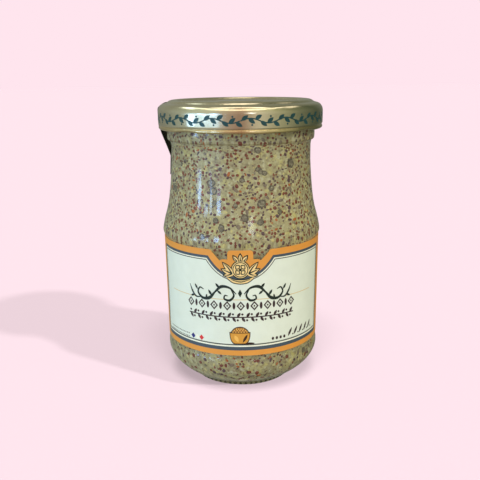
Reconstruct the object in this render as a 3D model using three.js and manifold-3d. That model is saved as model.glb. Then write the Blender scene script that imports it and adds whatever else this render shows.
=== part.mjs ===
// A glass jar of grain mustard, closed and sealed: a waisted jar filled with
// paste, a twist-off metal lid, a die-cut paper label round the body, and a
// paper seal stuck from the lid's shoulder down to the neck.
// Millimetres, +Z up. The origin is the centre of the foot, at the level the
// jar stands on. The front of the label faces -Y.

import * as THREE from 'three';
import { mergeVertices } from 'three/addons/utils/BufferGeometryUtils.js';
import Module from 'manifold-3d';

const wasm = await Module();
wasm.setup();

// Roundness of the turned pieces and of the curves in their profiles
const FACETS = 40;
const CURVE_STEPS = 5;
const LID_OUTER_STEPS = 4;
const LID_INNER_STEPS = 2;
const WELD_DISTANCE = 0.0001;

// Outside of the glass, from the foot up
const FOOT_RADIUS = 18.8;
const FOOT_WIDTH = 2.4;
const PUSH_UP = 1.4;
const PUSH_UP_PULL_RADIUS = 11.2;
const HEEL_RADIUS = 29.0;
const HEEL_HEIGHT = 12.2;
const HEEL_PULL_RADIUS = 28.9;
const HEEL_PULL_HEIGHT = 6.4;
const PANEL_LOW_RADIUS = 28.7;
const PANEL_LOW = 14.4;
const PANEL_HIGH_RADIUS = 29.2;
const PANEL_HIGH = 55.9;
const SHOULDER_RADIUS = 29.75;
const SHOULDER_HEIGHT = 57.5;
const FLARE_PULL_RADIUS = 28.5;
const FLARE_PULL_HEIGHT = 65.3;
const WAIST_PULL_RADIUS = 27.0;
const WAIST_PULL_HEIGHT = 63.0;
const WAIST_RADIUS = 25.9;
const WAIST_HEIGHT = 83.3;
const NECK_HEIGHT = 88.6;
const NECK_PULL_RADIUS = 26.0;
const NECK_PULL_HEIGHT = 90.7;
const BEAD_RADIUS = 27.3;
const BEAD_LOW = 90.8;
const BEAD_PULL_HEIGHT = 91.0;
const BEAD_FULL_HEIGHT = 92.6;
const BEAD_HIGH = 95.6;
const FINISH_RADIUS = 27.0;
const RIM_HEIGHT = 104.0;
const RIM_ROUND = 1.1;

// Inside of the glass
const WALL = 2.3;
const FLOOR_HEIGHT = 4.2;
const FLOOR_CROWN = 0.4;
const FLOOR_RADIUS = 15.0;
const INNER_HEEL_PULL_IN = 1.5;
const INNER_HEEL_PULL_UP = 0.4;
const MOUTH_RADIUS = 24.8;
const MOUTH_LOW = 94.0;

// Mustard, filled to just under the lid
const MUSTARD_LEVEL = 100.2;
const MUSTARD_GAP = 0.3;

// Lid: a 58 mm twist-off cap of thin metal
const LID_RADIUS = 30.2;
const LID_LOW = 94.6;
const LID_TOP = 104.9;
const LID_THICKNESS = 0.4;
const LID_RECESS = 0.7;
const LID_RIM_INNER = 23.0;
const LID_RIM_CREST = 24.8;
const LID_RIM_OUTER = 26.8;
const LID_RIM_FALL = 0.75;
const LID_RIM_OUTER_PULL = 0.9;
const LID_RIM_INNER_PULL = 0.6;
const LID_SHOULDER_RADIUS = 28.9;
const LID_SHOULDER_FALL = 1.9;
const LID_SHOULDER_PULL = 0.7;
const LID_SHOULDER_THINNING = 0.5;
const LID_SKIRT_HIGH = 101.0;
const CURL_HEIGHT = 2.6;
const CURL_WIDTH = 2.0;
const CURL_INNER_RISE = 0.9;
const CURL_OUTER_PULL = 0.4;
const BUTTON_RADIUS = 9.0;
const BUTTON_RISE = 0.3;
const LUG_COUNT = 4;
const LUG_ANGLE = 16;
const LUG_START = -39;
const LUG_TURN = -90;
const LUG_REACH = 27.95;
const LUG_ROOT = 29.0;
const LUG_LOW = 95.2;
const LUG_HEIGHT = 1.2;

// Label: its front is turned a little to the left of the jar's front
const LABEL_LOW = 16.2;
const LABEL_HIGH = 55.15;
const LABEL_GLUE = 0.05;
const LABEL_THICKNESS = 0.15;
const LABEL_TURN = -1.2;
const SEAM_GAP = 1.5;
const TAB_HALF_WIDTH = 4.5;
const TAB_CORNER = 1.3;
const STEP_HALF_WIDTH = 6.5;
const STEP_DEPTH = 3.25;
const NOTCH_HALF_WIDTH = 7.3;
const NOTCH_DEPTH = 3.75;
const SLOPE_HALF_WIDTH = 10.5;
const SLOPE_CORNER = 0.8;
const CUTTER_MARGIN = 2.0;

// Paper seal from the lid's shoulder over the skirt to the neck
const SEAL_WIDTH = 16.0;
const SEAL_TURN = 16;
const SEAL_GAP = 0.12;
const SEAL_THICKNESS = 0.18;
const SEAL_TOP_RADIUS = 27.5;
const SEAL_TOP_HEIGHT = 104.0;
const SEAL_SHOULDER_RADIUS = 29.05;
const SEAL_SHOULDER_HEIGHT = 103.1;
const SEAL_BEND_RADIUS = 29.95;
const SEAL_BEND_HEIGHT = 102.3;
const SEAL_SKIRT_RADIUS = 30.25;
const SEAL_SKIRT_HEIGHT = 101.4;
const SEAL_LEAVES_LID_RADIUS = 30.15;
const SEAL_LEAVES_LID_HEIGHT = 95.8;
const SEAL_MEETS_NECK_HEIGHT = 84.6;
const SEAL_NECK_RADIUS = 25.95;
const SEAL_LOW = 77.5;
const SEAL_LOW_RADIUS = 26.4;

const glass = new THREE.MeshStandardMaterial({
  color: 0xdfe6dc, roughness: 0.04, metalness: 0.0, transparent: true, opacity: 0.35,
});
const paste = new THREE.MeshStandardMaterial({ color: 0xada577, roughness: 0.6, metalness: 0.0 });
const goldMetal = new THREE.MeshStandardMaterial({ color: 0xbcae8c, roughness: 0.3, metalness: 1.0 });
const labelPaper = new THREE.MeshStandardMaterial({ color: 0xd0d8c4, roughness: 0.5, metalness: 0.0 });
const sealPaper = new THREE.MeshStandardMaterial({ color: 0x4a4838, roughness: 0.6, metalness: 0.0 });

// Turns a profile of radius and height about the jar's axis.
function revolve(points) {
  const geometry = new THREE.LatheGeometry(points, FACETS);
  geometry.rotateX(Math.PI / 2);
  return geometry;
}

// Shares the vertices of a closed mesh and drops its empty triangles.
function weld(geometry) {
  geometry.deleteAttribute('normal');
  geometry.deleteAttribute('uv');
  const welded = mergeVertices(geometry, WELD_DISTANCE);
  const corners = welded.getIndex().array;
  const kept = [];
  for (let i = 0; i < corners.length; i += 3) {
    const a = corners[i];
    const b = corners[i + 1];
    const c = corners[i + 2];
    if (a !== b && b !== c && c !== a) {
      kept.push(a, b, c);
    }
  }
  welded.setIndex(kept);
  return welded;
}

function toSolid(geometry) {
  const welded = weld(geometry);
  return new wasm.Manifold(new wasm.Mesh({
    numProp: 3,
    vertProperties: new Float32Array(welded.getAttribute('position').array),
    triVerts: new Uint32Array(welded.getIndex().array),
  }));
}

function toGeometry(solid) {
  const mesh = solid.getMesh();
  const geometry = new THREE.BufferGeometry();
  geometry.setAttribute('position', new THREE.BufferAttribute(mesh.vertProperties, 3));
  geometry.setIndex(new THREE.BufferAttribute(mesh.triVerts, 1));
  geometry.computeVertexNormals();
  return geometry;
}

function piece(name, geometry, material) {
  const mesh = new THREE.Mesh(geometry, material);
  mesh.name = name;
  return mesh;
}

// Outside of the jar, from the middle of its underside up to the rim.
function jarOutside() {
  const path = new THREE.Path();
  const footInner = FOOT_RADIUS - FOOT_WIDTH;
  path.moveTo(0, PUSH_UP);
  path.quadraticCurveTo(PUSH_UP_PULL_RADIUS, PUSH_UP, footInner, 0);
  path.lineTo(FOOT_RADIUS, 0);
  path.quadraticCurveTo(HEEL_PULL_RADIUS, HEEL_PULL_HEIGHT, HEEL_RADIUS, HEEL_HEIGHT);
  path.lineTo(PANEL_LOW_RADIUS, PANEL_LOW);
  path.lineTo(PANEL_HIGH_RADIUS, PANEL_HIGH);
  path.lineTo(SHOULDER_RADIUS, SHOULDER_HEIGHT);
  path.bezierCurveTo(
    FLARE_PULL_RADIUS, FLARE_PULL_HEIGHT,
    WAIST_PULL_RADIUS, WAIST_PULL_HEIGHT,
    WAIST_RADIUS, WAIST_HEIGHT,
  );
  path.lineTo(WAIST_RADIUS, NECK_HEIGHT);
  path.quadraticCurveTo(NECK_PULL_RADIUS, NECK_PULL_HEIGHT, FINISH_RADIUS, BEAD_LOW);
  path.quadraticCurveTo(BEAD_RADIUS, BEAD_PULL_HEIGHT, BEAD_RADIUS, BEAD_FULL_HEIGHT);
  path.quadraticCurveTo(BEAD_RADIUS, BEAD_HIGH, FINISH_RADIUS, BEAD_HIGH);
  path.lineTo(FINISH_RADIUS, RIM_HEIGHT - RIM_ROUND);
  path.quadraticCurveTo(FINISH_RADIUS, RIM_HEIGHT, FINISH_RADIUS - RIM_ROUND, RIM_HEIGHT);
  return path.getPoints(CURVE_STEPS);
}

// Wall of the cavity from the middle of the floor up to a height, drawn in by a gap.
function cavity(gap, top) {
  const path = new THREE.Path();
  const drawnIn = WALL + gap;
  path.moveTo(0, FLOOR_HEIGHT + FLOOR_CROWN + gap);
  path.lineTo(FLOOR_RADIUS, FLOOR_HEIGHT + gap);
  path.quadraticCurveTo(
    PANEL_LOW_RADIUS - drawnIn - INNER_HEEL_PULL_IN, FLOOR_HEIGHT + INNER_HEEL_PULL_UP + gap,
    PANEL_LOW_RADIUS - drawnIn, PANEL_LOW,
  );
  path.lineTo(PANEL_HIGH_RADIUS - drawnIn, PANEL_HIGH);
  path.bezierCurveTo(
    FLARE_PULL_RADIUS - drawnIn, FLARE_PULL_HEIGHT,
    WAIST_PULL_RADIUS - drawnIn, WAIST_PULL_HEIGHT,
    WAIST_RADIUS - drawnIn, WAIST_HEIGHT,
  );
  path.lineTo(WAIST_RADIUS - drawnIn, NECK_HEIGHT);
  path.lineTo(MOUTH_RADIUS - gap, MOUTH_LOW);
  path.lineTo(MOUTH_RADIUS - gap, top);
  return path.getPoints(CURVE_STEPS);
}

function jar() {
  const inside = cavity(0, RIM_HEIGHT - RIM_ROUND);
  return revolve([...jarOutside(), ...inside.reverse()]);
}

function mustard() {
  const side = cavity(MUSTARD_GAP, MUSTARD_LEVEL);
  return revolve([...side, new THREE.Vector2(0, MUSTARD_LEVEL)]);
}

// Upper face of the lid from the skirt in to the middle, lowered by a thickness.
function lidCrown(path, lowered) {
  const panel = LID_TOP - LID_RECESS - lowered;
  const crest = LID_TOP - lowered;
  const shoulder = LID_SHOULDER_RADIUS - lowered * LID_SHOULDER_THINNING;
  path.quadraticCurveTo(
    LID_RADIUS - lowered, crest - LID_SHOULDER_FALL - LID_SHOULDER_PULL,
    shoulder, crest - LID_SHOULDER_FALL,
  );
  path.lineTo(LID_RIM_OUTER, crest - LID_RIM_FALL);
  path.quadraticCurveTo(LID_RIM_OUTER - LID_RIM_OUTER_PULL, crest, LID_RIM_CREST, crest);
  path.quadraticCurveTo(LID_RIM_INNER + LID_RIM_INNER_PULL, crest, LID_RIM_INNER, panel);
  path.lineTo(BUTTON_RADIUS, panel);
  path.lineTo(BUTTON_RADIUS - BUTTON_RISE, panel + BUTTON_RISE);
  path.lineTo(0, panel + BUTTON_RISE);
}

function lidShell() {
  const outer = new THREE.Path();
  outer.moveTo(LID_RADIUS - CURL_WIDTH, LID_LOW + CURL_INNER_RISE);
  outer.quadraticCurveTo(LID_RADIUS - CURL_WIDTH, LID_LOW, LID_RADIUS - CURL_WIDTH / 2, LID_LOW);
  outer.quadraticCurveTo(LID_RADIUS, LID_LOW + CURL_OUTER_PULL, LID_RADIUS, LID_LOW + CURL_HEIGHT);
  outer.lineTo(LID_RADIUS, LID_SKIRT_HIGH);
  lidCrown(outer, 0);
  const inner = new THREE.Path();
  inner.moveTo(LID_RADIUS - LID_THICKNESS, LID_LOW + CURL_HEIGHT);
  inner.lineTo(LID_RADIUS - LID_THICKNESS, LID_SKIRT_HIGH);
  lidCrown(inner, LID_THICKNESS);
  return revolve([
    ...outer.getPoints(LID_OUTER_STEPS),
    ...inner.getPoints(LID_INNER_STEPS).reverse(),
    new THREE.Vector2(LID_RADIUS - CURL_WIDTH, LID_LOW + CURL_INNER_RISE),
  ]);
}

// One inward lug of the lid's curl, a short piece of a ring.
function lug(angle) {
  const half = THREE.MathUtils.degToRad(LUG_ANGLE / 2);
  const shape = new THREE.Shape();
  shape.absarc(0, 0, LUG_ROOT, -half, half, false);
  shape.absarc(0, 0, LUG_REACH, half, -half, true);
  const geometry = new THREE.ExtrudeGeometry(shape, {
    depth: LUG_HEIGHT, bevelEnabled: false, curveSegments: CURVE_STEPS,
  });
  geometry.translate(0, 0, LUG_LOW);
  geometry.rotateZ(THREE.MathUtils.degToRad(angle + LUG_TURN));
  return geometry;
}

function lid() {
  let solid = toSolid(lidShell());
  for (let i = 0; i < LUG_COUNT; i += 1) {
    const angle = LUG_START + (360 / LUG_COUNT) * i;
    solid = solid.add(toSolid(lug(angle)));
  }
  return toGeometry(solid);
}

// Radius of the label panel at a height: it widens a little towards the shoulder.
function panelRadius(height) {
  const share = (height - PANEL_LOW) / (PANEL_HIGH - PANEL_LOW);
  return THREE.MathUtils.lerp(PANEL_LOW_RADIUS, PANEL_HIGH_RADIUS, share);
}

// Where a length along the flat label comes to lie, seen from the front.
function wrapped(length) {
  const radius = panelRadius(LABEL_HIGH) + LABEL_GLUE + LABEL_THICKNESS;
  return radius * Math.sin(length / radius);
}

// One of the two notches in the label's top edge, beside the middle tab.
function notch(side) {
  const top = LABEL_HIGH;
  const along = (length) => side * wrapped(length);
  const shape = new THREE.Shape();
  shape.moveTo(along(TAB_HALF_WIDTH - TAB_CORNER), top + CUTTER_MARGIN);
  shape.lineTo(along(TAB_HALF_WIDTH - TAB_CORNER), top);
  shape.quadraticCurveTo(along(TAB_HALF_WIDTH), top, along(TAB_HALF_WIDTH), top - TAB_CORNER);
  shape.lineTo(along(TAB_HALF_WIDTH), top - STEP_DEPTH);
  shape.lineTo(along(STEP_HALF_WIDTH), top - STEP_DEPTH);
  shape.lineTo(along(NOTCH_HALF_WIDTH), top - NOTCH_DEPTH);
  shape.lineTo(along(SLOPE_HALF_WIDTH - SLOPE_CORNER / 2), top - SLOPE_CORNER);
  shape.quadraticCurveTo(along(SLOPE_HALF_WIDTH), top, along(SLOPE_HALF_WIDTH + SLOPE_CORNER), top);
  shape.lineTo(along(SLOPE_HALF_WIDTH + SLOPE_CORNER), top + CUTTER_MARGIN);
  const geometry = new THREE.ExtrudeGeometry(shape, {
    depth: PANEL_HIGH_RADIUS + CUTTER_MARGIN, bevelEnabled: false, curveSegments: CURVE_STEPS,
  });
  geometry.rotateX(Math.PI / 2);
  geometry.rotateZ(THREE.MathUtils.degToRad(LABEL_TURN));
  return geometry;
}

function label() {
  const foot = panelRadius(LABEL_LOW) + LABEL_GLUE;
  const head = panelRadius(LABEL_HIGH) + LABEL_GLUE;
  const sleeve = revolve([
    new THREE.Vector2(foot, LABEL_LOW),
    new THREE.Vector2(foot + LABEL_THICKNESS, LABEL_LOW),
    new THREE.Vector2(head + LABEL_THICKNESS, LABEL_HIGH),
    new THREE.Vector2(head, LABEL_HIGH),
    new THREE.Vector2(foot, LABEL_LOW),
  ]);
  const height = LABEL_HIGH - LABEL_LOW + CUTTER_MARGIN;
  const seam = new THREE.BoxGeometry(SEAM_GAP, CUTTER_MARGIN * 2, height);
  seam.translate(0, PANEL_HIGH_RADIUS, (LABEL_LOW + LABEL_HIGH) / 2);
  return toGeometry(toSolid(sleeve)
    .subtract(toSolid(seam))
    .subtract(toSolid(notch(-1)))
    .subtract(toSolid(notch(1))));
}

// Course of the seal down the jar's side, standing off by a distance.
function sealCourse(off) {
  return [
    new THREE.Vector2(SEAL_TOP_RADIUS + off, SEAL_TOP_HEIGHT),
    new THREE.Vector2(SEAL_SHOULDER_RADIUS + off, SEAL_SHOULDER_HEIGHT),
    new THREE.Vector2(SEAL_BEND_RADIUS + off, SEAL_BEND_HEIGHT),
    new THREE.Vector2(SEAL_SKIRT_RADIUS + off, SEAL_SKIRT_HEIGHT),
    new THREE.Vector2(LID_RADIUS + off, LID_LOW + CURL_HEIGHT),
    new THREE.Vector2(SEAL_LEAVES_LID_RADIUS + off, SEAL_LEAVES_LID_HEIGHT),
    new THREE.Vector2(WAIST_RADIUS + off, SEAL_MEETS_NECK_HEIGHT),
    new THREE.Vector2(SEAL_NECK_RADIUS + off, WAIST_HEIGHT),
    new THREE.Vector2(SEAL_LOW_RADIUS + off, SEAL_LOW),
  ];
}

function seal() {
  const inner = sealCourse(SEAL_GAP);
  const outer = sealCourse(SEAL_GAP + SEAL_THICKNESS);
  const sleeve = revolve([...outer.reverse(), ...inner, outer[0]]);
  const strip = new THREE.BoxGeometry(LID_RADIUS * 2, SEAL_WIDTH, LID_TOP);
  strip.translate(-LID_RADIUS, 0, LID_TOP / 2 + SEAL_LOW - CUTTER_MARGIN);
  strip.rotateZ(THREE.MathUtils.degToRad(-SEAL_TURN));
  return toGeometry(toSolid(sleeve).intersect(toSolid(strip)));
}

const mustardJar = new THREE.Group();
mustardJar.add(piece('jar', jar(), glass));
mustardJar.add(piece('mustard', mustard(), paste));
mustardJar.add(piece('lid', lid(), goldMetal));
mustardJar.add(piece('label', label(), labelPaper));
mustardJar.add(piece('seal', seal(), sealPaper));

export default mustardJar;
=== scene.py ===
import math

import bmesh
import bpy
import numpy as np
from mathutils import Matrix, Vector, noise
from mathutils.geometry import tessellate_polygon


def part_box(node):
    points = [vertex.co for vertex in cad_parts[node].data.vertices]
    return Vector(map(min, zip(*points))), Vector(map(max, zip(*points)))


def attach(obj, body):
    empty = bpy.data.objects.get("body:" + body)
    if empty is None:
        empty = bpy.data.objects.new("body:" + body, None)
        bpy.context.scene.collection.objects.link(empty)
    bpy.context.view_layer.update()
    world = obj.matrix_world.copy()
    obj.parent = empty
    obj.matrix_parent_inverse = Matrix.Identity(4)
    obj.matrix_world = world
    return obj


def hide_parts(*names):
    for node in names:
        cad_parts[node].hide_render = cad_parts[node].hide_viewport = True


# The closed and sealed jar as it was packed, which every piece below is made on.
# Lengths are in millimetres here and become metres where a mesh is made.
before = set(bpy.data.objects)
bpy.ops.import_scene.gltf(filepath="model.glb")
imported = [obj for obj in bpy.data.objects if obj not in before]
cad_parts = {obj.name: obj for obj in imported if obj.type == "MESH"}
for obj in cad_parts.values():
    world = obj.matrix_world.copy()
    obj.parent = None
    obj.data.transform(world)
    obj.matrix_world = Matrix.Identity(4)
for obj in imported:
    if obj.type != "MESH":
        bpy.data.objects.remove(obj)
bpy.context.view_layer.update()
MM = 0.001


# Glass jar: clear soda-lime glass blown in a mould, filled and closed at the packer's.
# Its side has a slightly sunk panel for the label, a waist under a rounded bead, and small ribs
# round the foot. The glass is a wall of even thickness, with the filling pressed against it.
RIM_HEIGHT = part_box("jar")[1].z / MM
RIM_ROUND = 1.1
FINISH_RADIUS = 27.0
BEAD_RADIUS = 27.3
BEAD_LOW, BEAD_FULL, BEAD_HIGH = 90.8, 92.6, 95.6
BEAD_HOLLOW, BEAD_LIP = (26.0, 90.7), 91.0
NECK_HEIGHT = 88.6
WAIST_RADIUS, WAIST_HEIGHT = 25.9, 83.3
WAIST_PULL_RADIUS, WAIST_PULL_HEIGHT = 27.0, 63.0
FLARE_PULL_RADIUS, FLARE_PULL_HEIGHT = 28.5, 65.3
SHOULDER_RADIUS, SHOULDER_EDGE, SHOULDER_HEIGHT = 29.75, 56.2, 57.5
PANEL_HIGH_RADIUS, PANEL_HIGH = 29.2, 55.9
PANEL_LOW_RADIUS, PANEL_LOW = 28.7, 14.4
HEEL_RADIUS, HEEL_HEIGHT, HEEL_EDGE = 29.0, 12.2, 14.0
HEEL_PULL = (28.9, 6.4)
FOOT_RADIUS, FOOT_INNER, FOOT_SIDE = 18.8, 16.4, 0.8
PUSH_UP, PUSH_UP_WIDTH = 1.4, 11.2
WALL = 2.3
FLOOR_HEIGHT, FLOOR_CROWN, FLOOR_RADIUS, FLOOR_STEPS = 4.2, 0.4, 15.0, 6
INNER_HEEL_IN, INNER_HEEL_UP = 1.5, 0.4
MOUTH_RADIUS, MOUTH_LOW = 24.8, 94.0
GLASS_TURNS = 288
RIB_COUNT, RIB_HEIGHT, RIB_TOP = 60, 0.3, 1.2
SEAM_HEIGHT, SEAM_HALF_TURN = 0.07, 0.01
# The waves in the glass: how many go round, how far one leans up the jar, where it starts, its share.
WAVE_HEIGHT = 0.035
WAVES = ((3, 11.0, 0.0, 1.0), (5, -7.0, 1.3, 1.0), (8, 4.6, 0.4, 0.4))
# The glass's own tint, and a second tint that is painted shade in the grooves between the foot's ribs.
GLASS_TINT, GROOVE_PAINTED_SHADE = (0.955, 0.985, 0.962, 1), (0.06, 0.065, 0.045, 1)
GROOVE_EDGE = 0.3
# Painted shade in dark lines round the glass, at the bead's lower edge and round the foot: the height, half
# width and tint of each.
PAINTED_SHADE_LINES = ((BEAD_LOW + 0.1, 0.3, (0.56, 0.52, 0.43, 1)), (1.4, 0.45, (0.3, 0.28, 0.2, 1)))
LINE_EDGE = 0.15


def curve(*corners, steps):
    """Points along a curve pulled towards its middle corners, with the first corner left out."""
    t = np.linspace(0, 1, steps + 1)[1:, None]
    level = [np.tile(np.array(corner, float), (steps, 1)) for corner in corners]
    while len(level) > 1:
        level = [a * (1 - t) + b * t for a, b in zip(level, level[1:])]
    return level[0]


def chained(start, *stretches):
    """An outline from a start, each stretch given by the corners of its curve and its steps."""
    outline = np.array([start], float)
    for *corners, steps in stretches:
        outline = np.vstack([outline, curve(outline[-1], *corners, steps=steps)])
    return outline


def glass_outside():
    """Outside of the glass, from the middle of its underside up to the rim."""
    return chained(
        (0, PUSH_UP),
        ((PUSH_UP_WIDTH, PUSH_UP), (FOOT_INNER, 0), 9),
        ((FOOT_RADIUS, 0), 3),
        ((FOOT_RADIUS, FOOT_SIDE), 4),
        (HEEL_PULL, (HEEL_RADIUS, HEEL_HEIGHT), 34),
        ((HEEL_RADIUS, HEEL_EDGE), (PANEL_LOW_RADIUS, PANEL_LOW), 5),
        ((PANEL_HIGH_RADIUS, PANEL_HIGH), 12),
        ((SHOULDER_RADIUS, SHOULDER_EDGE), (SHOULDER_RADIUS, SHOULDER_HEIGHT), 6),
        ((FLARE_PULL_RADIUS, FLARE_PULL_HEIGHT), (WAIST_PULL_RADIUS, WAIST_PULL_HEIGHT),
         (WAIST_RADIUS, WAIST_HEIGHT), 36),
        ((WAIST_RADIUS, NECK_HEIGHT), 5),
        (BEAD_HOLLOW, (FINISH_RADIUS, BEAD_LOW), 5),
        ((BEAD_RADIUS, BEAD_LIP), (BEAD_RADIUS, BEAD_FULL), 5),
        ((BEAD_RADIUS, BEAD_HIGH), (FINISH_RADIUS, BEAD_HIGH), 8),
        ((FINISH_RADIUS, RIM_HEIGHT - RIM_ROUND), 3),
        ((FINISH_RADIUS, RIM_HEIGHT), (FINISH_RADIUS - RIM_ROUND, RIM_HEIGHT), 5),
    )


def glass_inside(top, reach=0.0, rows=1.0):
    """Wall of the cavity from the middle of the floor up to a height, let into the glass by a reach."""
    wall = WALL - reach
    low, high, waist = PANEL_LOW_RADIUS - wall, PANEL_HIGH_RADIUS - wall, WAIST_RADIUS - wall
    mouth = MOUTH_RADIUS + reach
    heel = (low - INNER_HEEL_IN + reach, FLOOR_HEIGHT + INNER_HEEL_UP - reach)
    return chained(
        (0, FLOOR_HEIGHT + FLOOR_CROWN - reach),
        ((FLOOR_RADIUS, FLOOR_HEIGHT - reach), FLOOR_STEPS),
        (heel, (low, PANEL_LOW), int(16 * rows)),
        ((high, PANEL_HIGH), 12),
        ((FLARE_PULL_RADIUS - wall, FLARE_PULL_HEIGHT), (WAIST_PULL_RADIUS - wall, WAIST_PULL_HEIGHT),
         (waist, WAIST_HEIGHT), int(26 * rows)),
        ((waist, NECK_HEIGHT), int(4 * rows)),
        ((mouth, MOUTH_LOW), int(4 * rows)),
        ((mouth, top), int(4 * rows)),
    )


def turned(profile, turns, shape=None):
    """Points and faces of a body turned about the jar's axis, its profile starting and ending on it."""
    radius, height = profile[1:-1, 0], profile[1:-1, 1]
    angle = np.arange(turns) * 2 * math.pi / turns
    angle, radius = np.meshgrid(angle, radius)
    height = np.repeat(height[:, None], turns, axis=1)
    if shape:
        radius, height = shape(angle, radius, height)
    rings = np.stack([radius * np.cos(angle), radius * np.sin(angle), height], axis=-1)
    first, last = profile[0, 1], profile[-1, 1]
    points = np.vstack([[(0, 0, first)], rings.reshape(-1, 3), [(0, 0, last)]])
    number = 1 + np.arange(rings.shape[0] * turns).reshape(-1, turns)
    after = np.roll(number, -1, axis=1)
    sides = np.stack([number[:-1], after[:-1], after[1:], number[1:]], axis=-1).reshape(-1, 4)
    end = len(points) - 1
    start_cap = [(0, b, a) for a, b in zip(number[0], after[0])]
    end_cap = [(end, a, b) for a, b in zip(number[-1], after[-1])]
    return points, sides.tolist() + start_cap + end_cap


def add_piece(name, points, faces, finish, sharp=180.0):
    """A piece of the jar from points in millimetres, smooth but for edges sharper than an angle."""
    mesh = bpy.data.meshes.new(name)
    mesh.from_pydata((np.asarray(points) * MM).tolist(), [], faces)
    mesh.validate()
    mesh.shade_smooth()
    if sharp < 180.0:
        mesh.set_sharp_from_angle(angle=math.radians(sharp))
    mesh.materials.append(finish)
    piece = bpy.data.objects.new(name, mesh)
    bpy.context.scene.collection.objects.link(piece)
    return piece


def moulded(angle, radius, height):
    """Lets the outside of the glass wave a little, with ribs round the foot and a seam at each side."""
    outer = (np.arange(len(radius)) < len(glass_outside()) - 1)[:, None] & (radius > FOOT_INNER + 0.5)
    wave = sum(share * np.sin(count * angle + height / lean + start) for count, lean, start, share in WAVES)
    clear_of_label = (height < PANEL_LOW - 2) | (height > PANEL_HIGH + 1)
    ribbed = np.clip(1 - np.abs(height / (RIB_TOP / 2) - 1), 0, 1) * (0.5 + 0.5 * np.cos(RIB_COUNT * angle))
    seam = (np.abs(np.sin(angle)) < SEAM_HALF_TURN) & (height > RIB_TOP) & (height < BEAD_HIGH)
    radius = radius + outer * clear_of_label * (WAVE_HEIGHT * wave + SEAM_HEIGHT * seam)
    radius = radius + outer * (radius > FOOT_RADIUS - 0.1) * RIB_HEIGHT * ribbed
    return radius, height


def node(tree, kind, inputs=None, **settings):
    """Adds a node with its settings, and its inputs as values or as links from other nodes."""
    made = tree.nodes.new("ShaderNode" + kind)
    for key, value in settings.items():
        setattr(made, key, value)
    for key, value in (inputs or {}).items():
        if isinstance(value, bpy.types.NodeSocket):
            tree.links.new(value, made.inputs[key])
        else:
            made.inputs[key].default_value = value
    return made


def new_finish(name, **steady):
    """A material with its main shader and the object's own coordinates; steady holds plain values."""
    finish = bpy.data.materials.new(name)
    finish.use_nodes = True
    tree = finish.node_tree
    shader = tree.nodes["Principled BSDF"]
    for key, value in steady.items():
        shader.inputs[key.replace("_", " ")].default_value = value
    place = node(tree, "TexCoord").outputs["Object"]
    return finish, tree, shader, place


def worked_out(tree, operation, *values):
    """What a piece of arithmetic gives from plain values and from other nodes."""
    return node(tree, "Math", dict(enumerate(values)), operation=operation).outputs[0]


def share_between(tree, value, start, end):
    """How far a value has come from a start to an end, from nought to one."""
    return node(tree, "MapRange", {"Value": value, "From Min": start, "From Max": end}).outputs[0]


def uneven(tree, place, scale, low=0.0, high=1.0, detail=3.0):
    """A smoothly uneven value between two limits."""
    cloud = node(tree, "TexNoise", {"Vector": place, "Scale": scale, "Detail": detail})
    spread = node(tree, "MapRange", {
        "Value": cloud.outputs[0], "From Min": 0.3, "From Max": 0.7, "To Min": low, "To Max": high,
    })
    return spread.outputs[0]


def relief(tree, shader, height, depth, strength):
    """Lets a value stand up from the surface by a depth in millimetres."""
    bump = node(tree, "Bump", {"Height": height, "Distance": depth * MM, "Strength": strength})
    tree.links.new(bump.outputs[0], shader.inputs["Normal"])


def blend(tree, amount, under, over, way="MIX"):
    """One colour laid over another, or added to it or multiplied by it, by an amount."""
    return node(tree, "Mix", {0: amount, 6: under, 7: over}, data_type="RGBA", blend_type=way).outputs[2]


def clear_glass():
    """Clear glass with painted shade: darker between the foot's ribs, in a line round the foot and in a
    line at the bead.
    """
    finish, tree, shader, place = new_finish("clear glass", Transmission_Weight=1.0, IOR=1.5)
    x, y, z = node(tree, "SeparateXYZ", {0: place}).outputs
    # Painted shade in the grooves between the ribs at the foot.
    rib_turn = worked_out(tree, "MULTIPLY", worked_out(tree, "ARCTAN2", y, x), float(RIB_COUNT))
    groove_shade = share_between(tree, worked_out(tree, "COSINE", rib_turn), GROOVE_EDGE, -GROOVE_EDGE)
    foot = share_between(tree, z, RIB_TOP * MM, FOOT_SIDE * MM)
    tint_and_shade = blend(tree, worked_out(tree, "MULTIPLY", groove_shade, foot), GLASS_TINT, GROOVE_PAINTED_SHADE)
    # Painted shade in thin dark lines at the bead and at the foot.
    for height, half, line_shade in PAINTED_SHADE_LINES:
        off = worked_out(tree, "ABSOLUTE", worked_out(tree, "SUBTRACT", z, height * MM))
        tint_and_shade = blend(tree, share_between(tree, off, (half + LINE_EDGE) * MM, half * MM), tint_and_shade, line_shade)
    tree.links.new(tint_and_shade, shader.inputs["Base Color"])
    tree.links.new(uneven(tree, place, 60, 0.0, 0.02), shader.inputs["Roughness"])
    relief(tree, shader, uneven(tree, place, 90, detail=0.0), 0.05, 0.12)
    return finish


glass_profile = np.vstack([glass_outside(), glass_inside(RIM_HEIGHT - RIM_ROUND)[::-1]])
glass_jar = add_piece("glass_jar", *turned(glass_profile, GLASS_TURNS, moulded), clear_glass())
glass_jar.visible_shadow = False
glass_jar.visible_diffuse = False
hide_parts("jar")
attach(glass_jar, "root")


# Grain mustard: a thick paste of coarsely ground mustard seed in verjuice, filled in while soft.
# It lies against the glass all round, so its skin shows every lump, and it ends just under the lid.
def srgb(red, green, blue):
    """A colour as a picture gives it, as the shaders need it."""
    shares = [c / 255 for c in (red, green, blue)]
    linear = [c / 12.92 if c <= 0.04045 else ((c + 0.055) / 1.055) ** 2.4 for c in shares]
    return (*linear, 1.0)


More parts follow.
